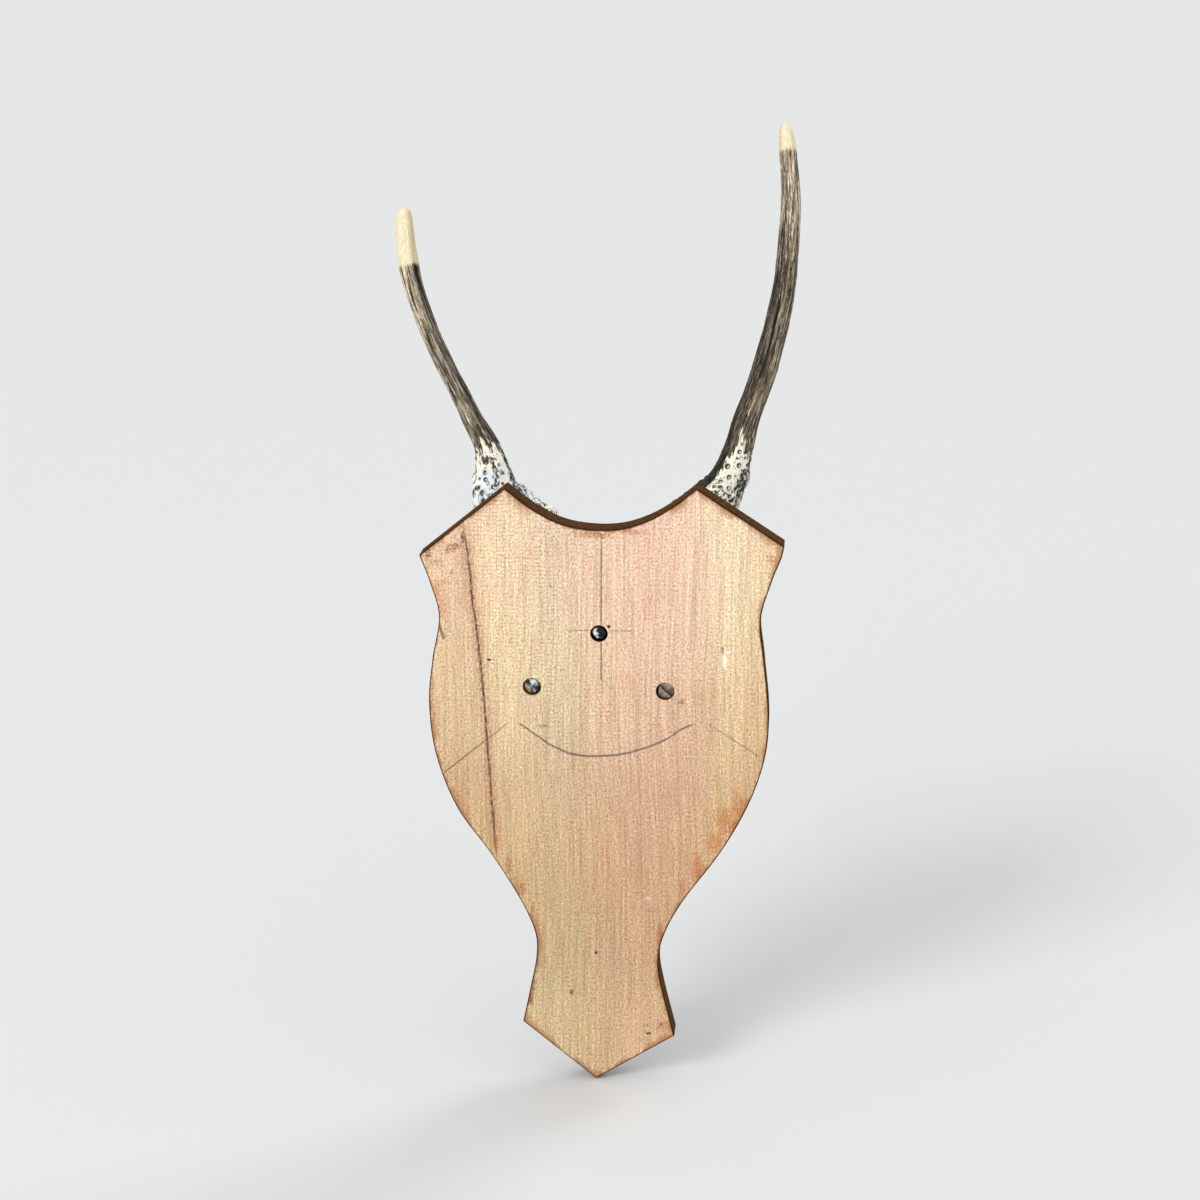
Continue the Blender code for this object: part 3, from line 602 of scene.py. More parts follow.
# Stain crept a little way over the edge of the bare back, further in some places.
creep = mottle(stretch(place, (0.07, 0.1, 0.04), (2, 0, 9)), 3.0, 0.6)
creep_width = 0.9 + rise(creep, 0.42, 0.64) * 4.4
creep_edge = from_edge + ragged * 1.6
warm = fall(creep_edge / creep_width, 0.1, 1.1)
bare = tinted(bare, warm, 0.72, (160, 100, 56))
fringe = fall(from_edge - creep * 0.9, -0.25, 0.55)
stain = ramp(grain["Fibre"], [(0.28, (44, 25, 12)), (0.5, (76, 48, 24)), (0.72, (116, 78, 42))])
stain = tinted(stain, grain["Pores"], 0.6, (28, 16, 8))
stain = blend(0.5, stain, ramp(grain["Rings"], [(0.3, 0.75), (0.7, 1.3)]), "MULTIPLY")
arris_dark = rise(axes["Y"], -2.2, -0.4) + fall(axes["Y"], -18.0, -15.6)
stain = tinted(stain, arris_dark, 0.6, (34, 20, 10))
wood_colour = blend(fringe, bare, stain)
# Painted shade low in each screw's bored seat: near black round the top and right screws, tan brown round
# the left one.
SEAT_SHADE = {"screw_top": (28, 21, 17), "screw_left": (120, 98, 72), "screw_right": (22, 16, 14)}
for screw_name, (x, z) in SCREW_PLACES.items():
    from_screw = vector("DISTANCE", flat_place, (x, 0, z))
    seat_shade = fall(from_screw, 4.5, 5.0) * fall(axes["Y"], -0.9, -0.15)
    wood_colour = tinted(wood_colour, seat_shade, 0.92, SEAT_SHADE[screw_name])
feed(wood_colour, wood_shader["Base Color"])
bare_rough = ramp(grain["Fibre"], [(0.3, 0.8), (0.7, 0.62)])
feed(blend(fringe, bare_rough, (0.8, 0.8, 0.8, 1)), wood_shader["Roughness"])
wood_shader["Specular IOR Level"].default_value = 0.02
feed(fall(axes["Y"], -14.5, -13.0) * 0.6, wood_shader["Coat Weight"])
wood_shader["Coat Roughness"].default_value = 0.32
relief = grain["Fibre"] * 0.5 - grain["Pores"] * 0.6 + grain["Speckle"] * 0.35 - ripple_mark_and_shade * 0.5
roughen(relief * (1.0 - fringe * 0.7), 0.6, 0.18, wood_shader)
pick(board)
bpy.ops.object.shade_smooth_by_angle(angle=math.radians(28))
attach(board, "root")
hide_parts("plaque")


# The screws: three steel wood screws that pass through the board into the skull on its far side, with
# their heads sunk a little below the bare wood in bored seats. The upper one is a dark polished dome, the
# left one a bright slotted head, and the right one a dull slotted head that sits off centre in its seat.

HEAD_RADIUS = 4.0
HEAD_SINK = 1.2
SHANK_TURNS = 11
SLOT_WIDTH = 0.8
SLOT_DEPTH = 1.0


def turned(name, profile, sides=48):
    """A body turned round the y axis from rings of (radius, depth) in millimetres, closed at both ends."""
    bpy.ops.object.select_all(action="DESELECT")
    first, depth = profile[0]
    bpy.ops.mesh.primitive_circle_add(vertices=sides, radius=first * MM, fill_type="NGON",
                                      location=(0, depth * MM, 0), rotation=(math.pi / 2, 0, 0))
    made = bpy.context.object
    made.name = name
    bpy.ops.object.transform_apply(location=True, rotation=True)
    bpy.ops.object.mode_set(mode="EDIT")
    bpy.ops.mesh.select_mode(type="EDGE")
    bpy.ops.mesh.select_all(action="SELECT")
    bpy.ops.mesh.region_to_loop()
    for radius, further in profile[1:]:
        bpy.ops.mesh.extrude_edges_move(TRANSFORM_OT_translate={"value": (0, (further - depth) * MM, 0)})
        wider = radius / first
        bpy.ops.transform.resize(value=(wider, 1, wider), center_override=(0, further * MM, 0))
        first, depth = radius, further
    bpy.ops.mesh.edge_face_add()
    bpy.ops.mesh.select_all(action="SELECT")
    bpy.ops.mesh.normals_make_consistent(inside=False)
    bpy.ops.object.mode_set(mode="OBJECT")
    return made


thread = [(2.1, -2.4)]
for turn in range(SHANK_TURNS):
    deep = -7.0 - turn * 1.75
    thread += [(1.55, deep), (2.0, deep - 0.75), (2.0, deep - 0.95)]
thread += [(1.4, -26.5), (0.8, -28.3), (0.25, -29.0)]


def head_profile(crown):
    """Rings (radius, depth) of a head whose top is a shallow dome that rises by the crown."""
    dome_radius = (HEAD_RADIUS**2 + crown**2) / (2 * crown)
    rings = []
    for radius in (0.4, 1.0, 1.7, 2.4, 3.0, 3.45, 3.75, 3.9):
        rings.append((radius, math.sqrt(dome_radius**2 - radius**2) - dome_radius))
    rim = rings[-1][1]
    return rings + [(3.97, rim - 0.10), (HEAD_RADIUS, rim - 0.24), (HEAD_RADIUS, -1.95), (3.9, -2.15),
                    (3.6, -2.3)]


steel_group, given, out = new_group("worn_steel", {"Place": "Vector", "Scratch": "Float"},
                                    ["Wear", "Dirt", "Height"])
patches = mottle(stretch(given["Place"], (0.55, 0.55, 0.55)), 3.0, 0.65)
hairs = mottle(stretch(given["Place"], (5.0, 0.4, 0.9)), 3.0, 0.7)
feed(rise(patches, 0.4, 0.66), out["Dirt"])
feed(rise(hairs, 0.5, 0.68) * given["Scratch"], out["Wear"])
feed(patches - hairs * 0.6, out["Height"])

# The top screw's near-black steel is partly blackened steel and partly a painted dark reflection of its
# surroundings.
SCREWS = {                      # dome, slot angle, shift in the seat, clean and dirty colour and roughness
    "screw_top": (1.5, None, (0.1, 0.0), (34, 34, 38), (12, 11, 12), 0.1, 0.2),
    "screw_left": (0.75, 38, (0.05, 0.1), (128, 130, 128), (54, 51, 46), 0.16, 0.32),
    "screw_right": (0.45, -42, (-0.36, -0.05), (172, 158, 144), (106, 88, 74), 0.32, 0.52),
}
# Painted highlights, painted reflections of the wood and painted shade at the rim, as patches on each screw
# head.
HEAD_LIGHT_PATCHES = {                        # patches on the head, from its middle: x, z, radius in millimetres, colour
    "screw_top": [(2.3, 1.1, 1.6, (255, 255, 255)), (1.5, -0.3, 1.5, (250, 252, 255)),
                  (0.8, -1.8, 1.0, (232, 238, 244)), (-1.2, -2.3, 1.0, (104, 88, 74)),
                  (2.0, -1.9, 0.8, (90, 90, 94))],
    "screw_left": [(2.2, -2.6, 1.9, (196, 176, 142)), (3.2, 0.2, 1.5, (190, 172, 140)),
                   (-2.9, -0.6, 1.5, (48, 42, 34)), (-1.6, -2.4, 1.1, (66, 52, 38)),
                   (1.7, 1.9, 1.4, (46, 48, 44)), (-0.5, 2.2, 1.4, (255, 255, 255)),
                   (-2.0, 0.9, 0.9, (206, 210, 216)), (-2.8, 2.2, 0.8, (36, 32, 28)),
                   (-0.9, -1.6, 0.45, (244, 236, 226)), (-1.3, -2.5, 0.45, (240, 232, 220))],
    "screw_right": [(1.2, 0.2, 0.9, (150, 138, 124)), (-1.6, -0.4, 1.2, (112, 88, 74)),
                    (3.9, 1.4, 0.8, (8, 7, 7)), (4.0, 0.2, 0.8, (8, 7, 7)), (3.8, -1.0, 0.6, (12, 10, 9))],
}
# Painted light in the slots: a pale painted reflection along the left screw's slot and painted shade in the
# right screw's slot.
SLOT_LIGHT_AND_SHADE = {
    "screw_left": ((0.16, 0.34), 0.85, (206, 210, 206)),
    "screw_right": ((0.16, 0.34), 0.9, (40, 26, 22)),
}
for screw_name, (crown, angle, shift, clean, dirty, smooth, dull) in SCREWS.items():
    x, z = np.array(SCREW_PLACES[screw_name]) + shift
    screw = turned(screw_name + "_steel", head_profile(crown) + thread)
    arris = screw.modifiers.new("arris", "BEVEL")
    cutter = None
    if angle is not None:
        bpy.ops.object.select_all(action="DESELECT")
        bpy.ops.mesh.primitive_cube_add(size=1, rotation=(0, math.radians(angle), 0),
                                        scale=(12 * MM, 2 * (SLOT_DEPTH + crown / 2) * MM, SLOT_WIDTH * MM))
        cutter = bpy.context.object
        slot = screw.modifiers.new("slot", "BOOLEAN")
        slot.object = cutter
        slot.solver = "EXACT"
        screw.modifiers.move(1, 0)
    arris.width = 0.10 * MM
    arris.segments = 2
    arris.limit_method = "ANGLE"
    arris.angle_limit = math.radians(55)
    bpy.context.view_layer.objects.active = screw
    for step in list(screw.modifiers):
        bpy.ops.object.modifier_apply(modifier=step.name)
    if cutter:
        bpy.data.objects.remove(cutter)
    screw.data.transform(Matrix.Translation((x * MM, (crown * 0.5 - HEAD_SINK) * MM, z * MM)))

    t, steel_shader = new_material(screw_name + "_finish", screw)
    place = in_mm(t)
    worn = use_group(steel_group, {"Place": place, "Scratch": 0.7})
    colour = blend(worn["Dirt"], paint(*clean), paint(*dirty))
    colour = tinted(colour, worn["Wear"], 0.35, (190, 186, 180))
    from_head = vector("SUBTRACT", place, (x, 0, z))
    flat_head = vector("MULTIPLY", from_head, (1, 0, 1))
    # Each patch paints a highlight, a reflection or shade onto the head's colour, its edge roughened by the
    # wear height.
    for spot_x, spot_z, size, patch in HEAD_LIGHT_PATCHES[screw_name]:
        away = vector("DISTANCE", flat_head, (spot_x, 0, spot_z))
        away = away / size + (worn["Height"] - 0.2) * 2.0
        painted_light_here = fall(away, 0.5, 1.1)
        colour = tinted(colour, painted_light_here, 0.92, patch)
    # The slot is painted: pale as a reflection in the left head, dark as shade in the right one.
    if angle is not None:
        turned_place = node("VectorRotate", {"Vector": from_head, "Axis": (0, 1, 0),
                                             "Angle": -math.radians(angle)})
        beside = abs(split(turned_place)["Z"])
        depth = split(place)["Y"]
        (clear_from, clear_to), strength, slot_paint_colour = SLOT_LIGHT_AND_SHADE[screw_name]
        in_slot = fall(depth, -HEAD_SINK - crown * 0.5 - 0.35, -HEAD_SINK + crown * 0.2)
        grime_and_painted_light = fall(beside, clear_from, clear_to) * in_slot
        colour = tinted(colour, grime_and_painted_light, strength, slot_paint_colour)
    feed(colour, steel_shader["Base Color"])
    feed(blend(worn["Dirt"], (smooth, smooth, smooth, 1), (dull, dull, dull, 1)), steel_shader["Roughness"])
    steel_shader["Metallic"].default_value = 1.0
    roughen(worn["Height"], 0.35, 0.06, steel_shader)
    pick(screw)
    bpy.ops.object.shade_smooth_by_angle(angle=math.radians(35))
    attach(screw, "root")
    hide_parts(screw_name)


# The skull: the front of a young deer's head, sawn flat behind and screwed to the board's face, so that it
# hangs nose down on the far side. It is boiled, bleached bone with the seams between its plates still open.
# It is built up from rounded masses melted into one skin, and its hollows are then cut out.

CUT_Y = -18.3
SOCKET_CENTRE, SOCKET_FACES = (32.0, 64.0, 25.0), (0.86, -0.28, 0.42)
SOCKET_RADII, SOCKET_SUNK = (16.4, 16.4, 21), 6
RIM_RADIUS, RIM_THICKNESS = 18.4, 2.5
BRAINCASE = ((0, 84, 13), (32.5, 33.5, 31))
SKULL_SECTIONS = [              # height up the face, half width, height off the board, squareness
    (98, 24, 38, 2.2), (88, 27, 44, 2.5), (76, 28, 47, 2.8), (62, 28, 47.5, 3.0), (50, 29, 46, 2.8),
    (40, 29, 43.5, 2.5), (28, 27.5, 40, 2.3), (14, 25, 37, 2.1), (0, 22.5, 34.5, 2.1),
    (-16, 20.5, 31.5, 2.1), (-32, 18, 28, 2.1), (-46, 16.5, 23, 2.2), (-58, 15, 16, 2.3),
    (-68, 13, 11.5, 2.2), (-76, 9.5, 8, 2.0), (-80, 5, 5, 2.0),
]
BELOW_CUT = 9.0
BALLS = [                       # brow and tear bone: across, up, off the board, and radii across, off, up
    ((20, 64, 33), (12, 11.5, 22)), ((21.5, 42, 24), (7.5, 14, 16))]
POSTS = {                       # the posts of the antlers: across, up, off the board, radius
    +1: [(13, 79, 34, 11.8), (19.5, 84.5, 37, 11.2), (27.5, 92, 39.5, 10.4), (39, 103.7, 42, 10.0)],
    -1: [(13, 80, 34, 11.5), (20, 87, 37, 10.4), (28, 96.5, 39.5, 8.8), (38.5, 108.6, 42, 8.2)]}
# Each a chain of (across, up, off the board, radius), on each side of the face.
BONES = [
    [(19, 10, 9, 5), (24.5, 24, 11, 7), (30, 36, 10, 8), (34.5, 46, 8, 7), (38.5, 56, 6, 4.6),
     (40.5, 69, 5, 3.2), (38.8, 84, 6, 3.2), (33, 96, 7, 3.8), (24, 103, 7, 5)],
    [(13.5, -20, 10, 6.5), (13.2, -44, 8, 5), (11.2, -62, 5.6, 4.2), (8, -76, 4.2, 3.2),
     (6.4, -82, 3.6, 2)],
    [(5, 30, 36, 5), (5.6, 5, 31.5, 5.4), (5.4, -20, 26.5, 4.8), (5, -43, 21.2, 2.4)],
]


def on_skull(across, up, off):
    return Vector((across * MM, (CUT_Y - off) * MM, up * MM))


def ball(centre, radii, kept):
    bpy.ops.object.select_all(action="DESELECT")
    bpy.ops.mesh.primitive_uv_sphere_add(segments=40, ring_count=24, radius=1, location=centre)
    made = bpy.context.object
    made.scale = Vector(radii) * MM
    kept.append(made)
    return made


def bar(first, second, radius_a, radius_b, kept):
    """A tapered round bar between two points, rounded at its ends by the balls of its neighbours."""
    along = second - first
    bpy.ops.object.select_all(action="DESELECT")
    bpy.ops.mesh.primitive_cone_add(vertices=32, radius1=radius_a * MM, radius2=radius_b * MM,
                                    depth=along.length, location=(first + second) / 2)
    bpy.context.object.rotation_euler = along.to_track_quat("Z", "Y").to_euler()
    kept.append(bpy.context.object)


def socket_way(side):
    across, up, off = SOCKET_FACES
    return Vector((side * across, -off, up)).normalized()


bones = []
ball(on_skull(*BRAINCASE[0]), BRAINCASE[1], bones)
for side in (+1, -1):
    for centre, radii in BALLS:
        ball(on_skull(side * centre[0], *centre[1:]), radii, bones)
    for chain in [POSTS[side], *BONES]:
        knots = [(on_skull(side * across, up, off), radius) for across, up, off, radius in chain]
        for i, (point, radius) in enumerate(knots):
            ball(point, (radius, radius, radius), bones)
            if i:
                bar(knots[i - 1][0], point, knots[i - 1][1], radius, bones)
    bpy.ops.object.select_all(action="DESELECT")
    bpy.ops.mesh.primitive_torus_add(major_segments=72, minor_segments=20, major_radius=RIM_RADIUS * MM,
                                     minor_radius=RIM_THICKNESS * MM,
                                     location=on_skull(side * SOCKET_CENTRE[0], *SOCKET_CENTRE[1:]))
    bpy.context.object.rotation_euler = socket_way(side).to_track_quat("Z", "Y").to_euler()
    bones.append(bpy.context.object)

rings = []
RING_POINTS = 64
for up, half, off, square in SKULL_SECTIONS:
    ring = []
    for k in range(RING_POINTS):
        a = 2 * math.pi * k / RING_POINTS
        c, s = math.cos(a), math.sin(a)
        x = math.copysign(abs(c) ** (2 / square), c) * half
        y = math.copysign(abs(s) ** (2 / square), s)
        ring.append(on_skull(x, up, y * off if y > 0 else y * BELOW_CUT))
    rings.append(ring)
skull = ringed("skull_bone", rings)
pick(skull)
for bone in bones:
    bone.select_set(True)
bpy.ops.object.join()


def melt(thing, grain_size, passes):
    """Melts overlapping bodies into one skin, then rubs it smooth."""
    skin = thing.modifiers.new("skin", "REMESH")
    skin.mode = "VOXEL"
    skin.voxel_size = grain_size * MM
    rub = thing.modifiers.new("rub", "SMOOTH")
    rub.iterations = passes
    rub.factor = 0.5
    bpy.context.view_layer.objects.active = thing
    for step in list(thing.modifiers):
        bpy.ops.object.modifier_apply(modifier=step.name)


HOLLOWS = {                     # on each side: across, up, off the board, and radii across, off, up
    "hole above the brow": ((15.5, 72, 50.0), (1.5, 5, 2.2)),
    "gutter under that hole": ((15.0, 60, 49.2), (1.3, 2.2, 9)),
    "nerve hole on the cheek": ((24.0, 2, 17.0), (6, 3.0, 3.6)),
    "gap beside the nose bones": ((17.0, 27, 38.0), (3.0, 7, 9.5)),
    "tear pit before the eye": ((33.0, 38, 20.0), (3.2, 7.0, 6.5)),
    "slit of the palate": ((4.6, -74, 9.0), (1.8, 12, 8.5)),
}
NOSTRIL = ((0, -56, 14), (8.6, 20, 23))
melt(skull, 1.2, 14)
cutters = []
for side in (+1, -1):
    way = socket_way(side)
    socket_at = on_skull(side * SOCKET_CENTRE[0], *SOCKET_CENTRE[1:]) - way * SOCKET_SUNK * MM
    socket = ball(socket_at, SOCKET_RADII, cutters)
    socket.rotation_euler = way.to_track_quat("Z", "Y").to_euler()
    for (across, up, off), radii in HOLLOWS.values():
        ball(on_skull(side * across, up, off), radii, cutters)
ball(on_skull(*NOSTRIL[0]), NOSTRIL[1], cutters)
carve(skull, cutters)
melt(skull, 0.8, 3)


def points_and_ways_out(thing):
    """Where each point of the skin is, in millimetres, and which way is out there."""
    rows, ways = np.empty((2, len(thing.data.vertices) * 3))
    thing.data.vertices.foreach_get("co", rows)
    thing.data.vertex_normals.foreach_get("vector", ways)
    return rows.reshape(-1, 3) / MM, ways.reshape(-1, 3)


def rough(rows, scale, seed):
    shift = Vector((seed * 7.3, seed * 3.1, seed * 5.7))
    return np.array([noise.noise(Vector(row) + shift) for row in rows * np.array(scale)])


def seam_depth(rows):
    """How near each point lies to a seam between two plates of bone, 1 on the seam."""
    x, z = rows[:, 0], rows[:, 2]
    jag = 0.9 * rough(rows, (0.5, 0.5, 0.5), 3) + 0.5 * rough(rows, (1.3, 1.3, 1.3), 4)
    lines = [x + jag * (z > 20),
             (z - (34 - 0.030 * x**2)) + 2.2 * jag,
             (z - (92 + 0.012 * x**2)) + 2.6 * jag,
             np.where(z < 34, (np.abs(x) - (11.0 + 0.055 * (z + 20))) + jag, 9.0),
             np.where((np.abs(x) > 14) & (z > 14) & (z < 60), z - (22 + 0.9 * (np.abs(x) - 14)) + 1.6 * jag,
                      9.0)]
    nearest = np.min(np.abs(lines), axis=0)
    front = rows[:, 1] < CUT_Y - 14
    return np.where(front, share(1 - nearest / 0.85), 0)


rows, out_ways = points_and_ways_out(skull)
seams = seam_depth(rows)
push = (0.55 * rough(rows, (0.06, 0.06, 0.06), 1) + 0.22 * rough(rows, (0.22, 0.22, 0.22), 2)
        + 0.09 * rough(rows, (0.8, 0.8, 0.8), 5) - 0.30 * seams)
deep_pits = rough(rows, (0.75, 0.75, 0.75), 6)
push -= 0.3 * share((deep_pits - 0.34) * 5)
skull.data.vertices.foreach_set("co", ((rows + out_ways * push[:, None]) * MM).ravel())
skull.data.update()


def hollows(thing, passes):
    """How far each point lies in a hollow: the slope of the skin round it, smoothed a few times."""
    rows, out_ways = points_and_ways_out(thing)
    ends = np.empty(len(thing.data.edges) * 2, int)
    thing.data.edges.foreach_get("vertices", ends)
    a, b = ends.reshape(-1, 2).T
    count = np.bincount(np.concatenate([a, b]), minlength=len(rows)).clip(1)

    def mean_of(values):
        total = np.zeros_like(values)
        np.add.at(total, a, values[b])
        np.add.at(total, b, values[a])
        return total / (count[:, None] if values.ndim == 2 else count)

    bend = ((mean_of(rows) - rows) * out_ways).sum(1)
    for _ in range(passes):
        bend = 0.5 * (bend + mean_of(bend))
    return bend


work = bmesh.new()
work.from_mesh(skull.data)
seam_layer = work.verts.layers.float.new("seam")
for vertex, value in zip(work.verts, seams):
    vertex[seam_layer] = value
hollow_layer = work.verts.layers.float.new("hollow")
small_hollows, wide_hollows = hollows(skull, 3), hollows(skull, 22)
for vertex, value in zip(work.verts, small_hollows / 0.05 + wide_hollows / 0.012):
    vertex[hollow_layer] = min(1.0, max(-1.0, 0.5 * value))
bmesh.ops.bisect_plane(work, geom=work.verts[:] + work.edges[:] + work.faces[:],
                       plane_co=(0, CUT_Y * MM, 0), plane_no=(0, 1, 0), clear_outer=True)
bmesh.ops.holes_fill(work, edges=[e for e in work.edges if e.is_boundary], sides=0)
bmesh.ops.triangulate(work, faces=[f for f in work.faces if len(f.verts) > 4])
work.to_mesh(skull.data)
work.free()

# The posts end square just under each antler's foot, and the screws bite into the bone.
ANTLER_FEET = [                 # where each antler starts, and a place a little further along it
    ((37.0, -60.0, 101.5), (38.6, -60.1, 103.3)), ((-37.4, -60.0, 108.0), (-39.2, -60.2, 110.0))]
FOOT_GAP = 0.3
SCREW_HOLE = 2.35
cutters = []
for foot, beyond in ANTLER_FEET:
    way = (Vector(beyond) - Vector(foot)).normalized()
    cutters.append(drill(Vector(foot) + way * (10 - FOOT_GAP), 16, 20, 48, way))
for x, z in SCREW_PLACES.values():
    cutters.append(drill((x, CUT_Y + 0.5, z), SCREW_HOLE, 28, 40))
carve(skull, cutters)

# Bone: small dark pores and thin crazing, darker brown in the hollows and paler on the ridges.
bone_group, given, out = new_group(
    "pitted_bone", {"Place": "Vector", "Pit Size": "Float", "Pit Amount": "Float"},
    ["Pits", "Crazing", "Clouds", "Height"])
scaled = vector("SCALE", given["Place"], 1.0 / given["Pit Size"])
cells = add_node("TexVoronoi", {"Vector": scaled, "Scale": 1.0, "Randomness": 1.0}).outputs
chance = node("SeparateColor", {0: Wire(cells["Color"])}, "Red")
hole = fall(Wire(cells["Distance"]), 0.10, 0.30)
pits = hole * rise(given["Pit Amount"] - chance, 0.0, 0.05)
feed(pits, out["Pits"])
warped = stretch(given["Place"], (0.35, 0.35, 0.35))
jitter = node("TexNoise", {"Vector": warped, "Scale": 1.0, "Detail": 3.0}, "Color")
warped = vector("ADD", warped, jitter)
cracks = node("TexVoronoi", {"Vector": warped, "Scale": 1.0}, "Distance", feature="DISTANCE_TO_EDGE")
feed(fall(cracks, 0.0, 0.035), out["Crazing"])
feed(mottle(stretch(given["Place"], (0.09, 0.09, 0.09)), 4.0, 0.6), out["Clouds"])
fine = mottle(stretch(given["Place"], (1.6, 1.6, 1.6)), 3.0, 0.6)
feed(fine * 0.5 - pits, out["Height"])

t, bone_shader = new_material("bleached_bone", skull)
place = in_mm(t)
marks = use_group(bone_group, {"Place": place, "Pit Size": 1.5, "Pit Amount": 0.3})
seam, hollow = stored(t, "seam"), stored(t, "hollow")
colour = ramp(marks["Clouds"], [(0.3, (206, 190, 156)), (0.48, (228, 216, 188)), (0.66, (240, 232, 212))])
colour = tinted(colour, rise(hollow, 0.1, 1.0), 0.75, (178, 152, 112))
colour = blend(rise(-hollow, 0.2, 0.9), colour, paint(246, 240, 224))
colour = tinted(colour, marks["Crazing"], 0.35, (140, 112, 80))
colour = tinted(colour, marks["Pits"], 0.6, (96, 74, 50))
colour = tinted(colour, seam, 0.55, (104, 80, 56))
feed(colour, bone_shader["Base Color"])
feed(ramp(marks["Clouds"], [(0.3, 0.62), (0.7, 0.46)]), bone_shader["Roughness"])
roughen(marks["Height"], 0.5, 0.25, bone_shader)
bone_shader["Subsurface Weight"].default_value = 0.08
bone_shader["Subsurface Radius"].default_value = (0.002, 0.0012, 0.0008)
pick(skull)
bpy.ops.object.shade_smooth_by_angle(angle=math.radians(45))
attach(skull, "root")
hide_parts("skull")


# The antlers: two slim unbranched beams grown on the skull's posts, each with a knobbed burr at its foot,
# a pearled and pitted base bleached white with the skull, a dark streaked shaft and a rubbed ivory tip.
# Each is a skin of rings threaded on its bent middle line, pushed in and out for pearls, pits and gutters.

BEAMS = {                       # place and radius of the beam from the burr to the tip, in millimetres
    "left": [(37, -60, 101.5, 10.4), (38.6, -60.1, 103.3, 15.6), (42, -60.4, 107, 16),
             (48.6, -61, 114.2, 14.6), (56.0, -61.8, 124, 13.0), (58.1, -62.7, 135.2, 8.8),
             (61.6, -64, 148.7, 6), (68.0, -66, 160.1, 5), (74.1, -68, 171.5, 4.6),
             (80.3, -70, 182.8, 4.4), (86.1, -72, 194.2, 4.4), (91.2, -74.5, 205.4, 4.5),
             (95.6, -77, 216.7, 4.6), (99.3, -80, 227.9, 4.7), (101.6, -83, 239.1, 4.7),
             (102.8, -86, 250.3, 4.3), (103.2, -87.6, 256.4, 3.6), (103.3, -88.6, 260, 2.5)],
    "right": [(-37.4, -60, 108, 9), (-39.2, -60.2, 110, 13.4), (-42.8, -60.5, 114, 14),
              (-48.6, -61, 121.2, 12.6), (-54.2, -61.6, 129, 10.4), (-58, -62.5, 137.5, 8.4),
              (-61.3, -64, 149, 6.8), (-64.9, -66, 162.5, 6.2), (-68.9, -68, 173.9, 5.9),
              (-72.6, -70, 185.3, 5.9), (-75.6, -71.5, 196.7, 5.8), (-78.4, -73, 208.1, 5.6),
              (-80.6, -75, 219.4, 5.5), (-82.2, -77, 230.6, 5.4), (-83.2, -79, 241.8, 5.1),
              (-83.6, -81, 252.9, 4.7), (-83.7, -83.5, 264, 4.5), (-83.1, -86, 275.1, 4.4),
              (-81.6, -89, 288.9, 4.1), (-80.6, -91.2, 297.4, 3.2), (-80.2, -92.2, 301.6, 1.4)],
}
AROUND = 264
ROUND_TIP = 2.4
PEARLED = 56
PEARLS, BURR_KNOBS, STRAY_RINGS, FAR_BLOTS = 170, 21, 60, 14
OUTER_KNOB = {"left": (64.9, -61.6, 131.6), "right": (-63.8, -62.0, 135.4)}
KNOB_RADII = {"left": np.array((3.6, 4.6, 3.9)), "right": np.array((3.6, 4.6, 6.0))}
IVORY_LENGTH = {"left": 28.5, "right": 13.5}
LIGHTER_SHAFT = {               # from, to up the beam, how much paler, how much of the inner shade stays
    "left": (60, 78, 0.085, 1.0), "right": (136, 172, 0.080, 0.25)}
# On the board's side: across the beam, -1 at the picture's left, and how far up.
WHITE_EDGE = {
    "left": ([-1, -0.66, -0.35, -0.03, 0.29, 0.94, 1], [44, 51, 50, 57, 52, 50, 46]),
    "right": ([-1, -0.8, -0.68, -0.5, -0.26, -0.06, 0.2, 0.5, 0.95, 1],
              [8, 10, 36, 44, 47, 56, 55, 53, 45, 40]),
}
# Dark patches left in the white: up the beam, across, half height, half breadth.
BLOTS = {
    "left": [(47.6, -0.1, 1.7, 0.46), (43.0, 0.34, 5.5, 0.11), (46.0, -0.88, 3.4, 0.1),
             (37.5, 0.24, 2.6, 0.1), (34.8, -0.62, 1.2, 0.16), (40.5, 0.62, 1.2, 0.07),
             (31.0, 0.9, 9.0, 0.05), (26.0, 0.72, 3.0, 0.04), (45.0, 0.96, 7.0, 0.06),
             (37.0, 0.96, 6.0, 0.05), (42.5, -0.97, 3.0, 0.04), (30.0, -0.35, 1.4, 0.1),
             (27.5, -0.55, 1.2, 0.12), (31.5, -0.05, 0.9, 0.1), (26.0, -0.15, 1.5, 0.08),
             (33.0, -0.8, 1.2, 0.08), (28.5, 0.15, 1.0, 0.12), (24.0, -0.4, 1.2, 0.1)],
    "right": [(36.6, 0.72, 4.6, 0.26), (31.5, 0.74, 4.6, 0.24), (43.5, 0.93, 8.0, 0.11),
              (26.0, 0.5, 1.4, 0.16), (49.0, 0.55, 1.8, 0.14), (33.0, 0.5, 2.8, 0.14),
              (23.5, 0.78, 1.2, 0.1), (21.0, 0.45, 1.0, 0.1)],
}
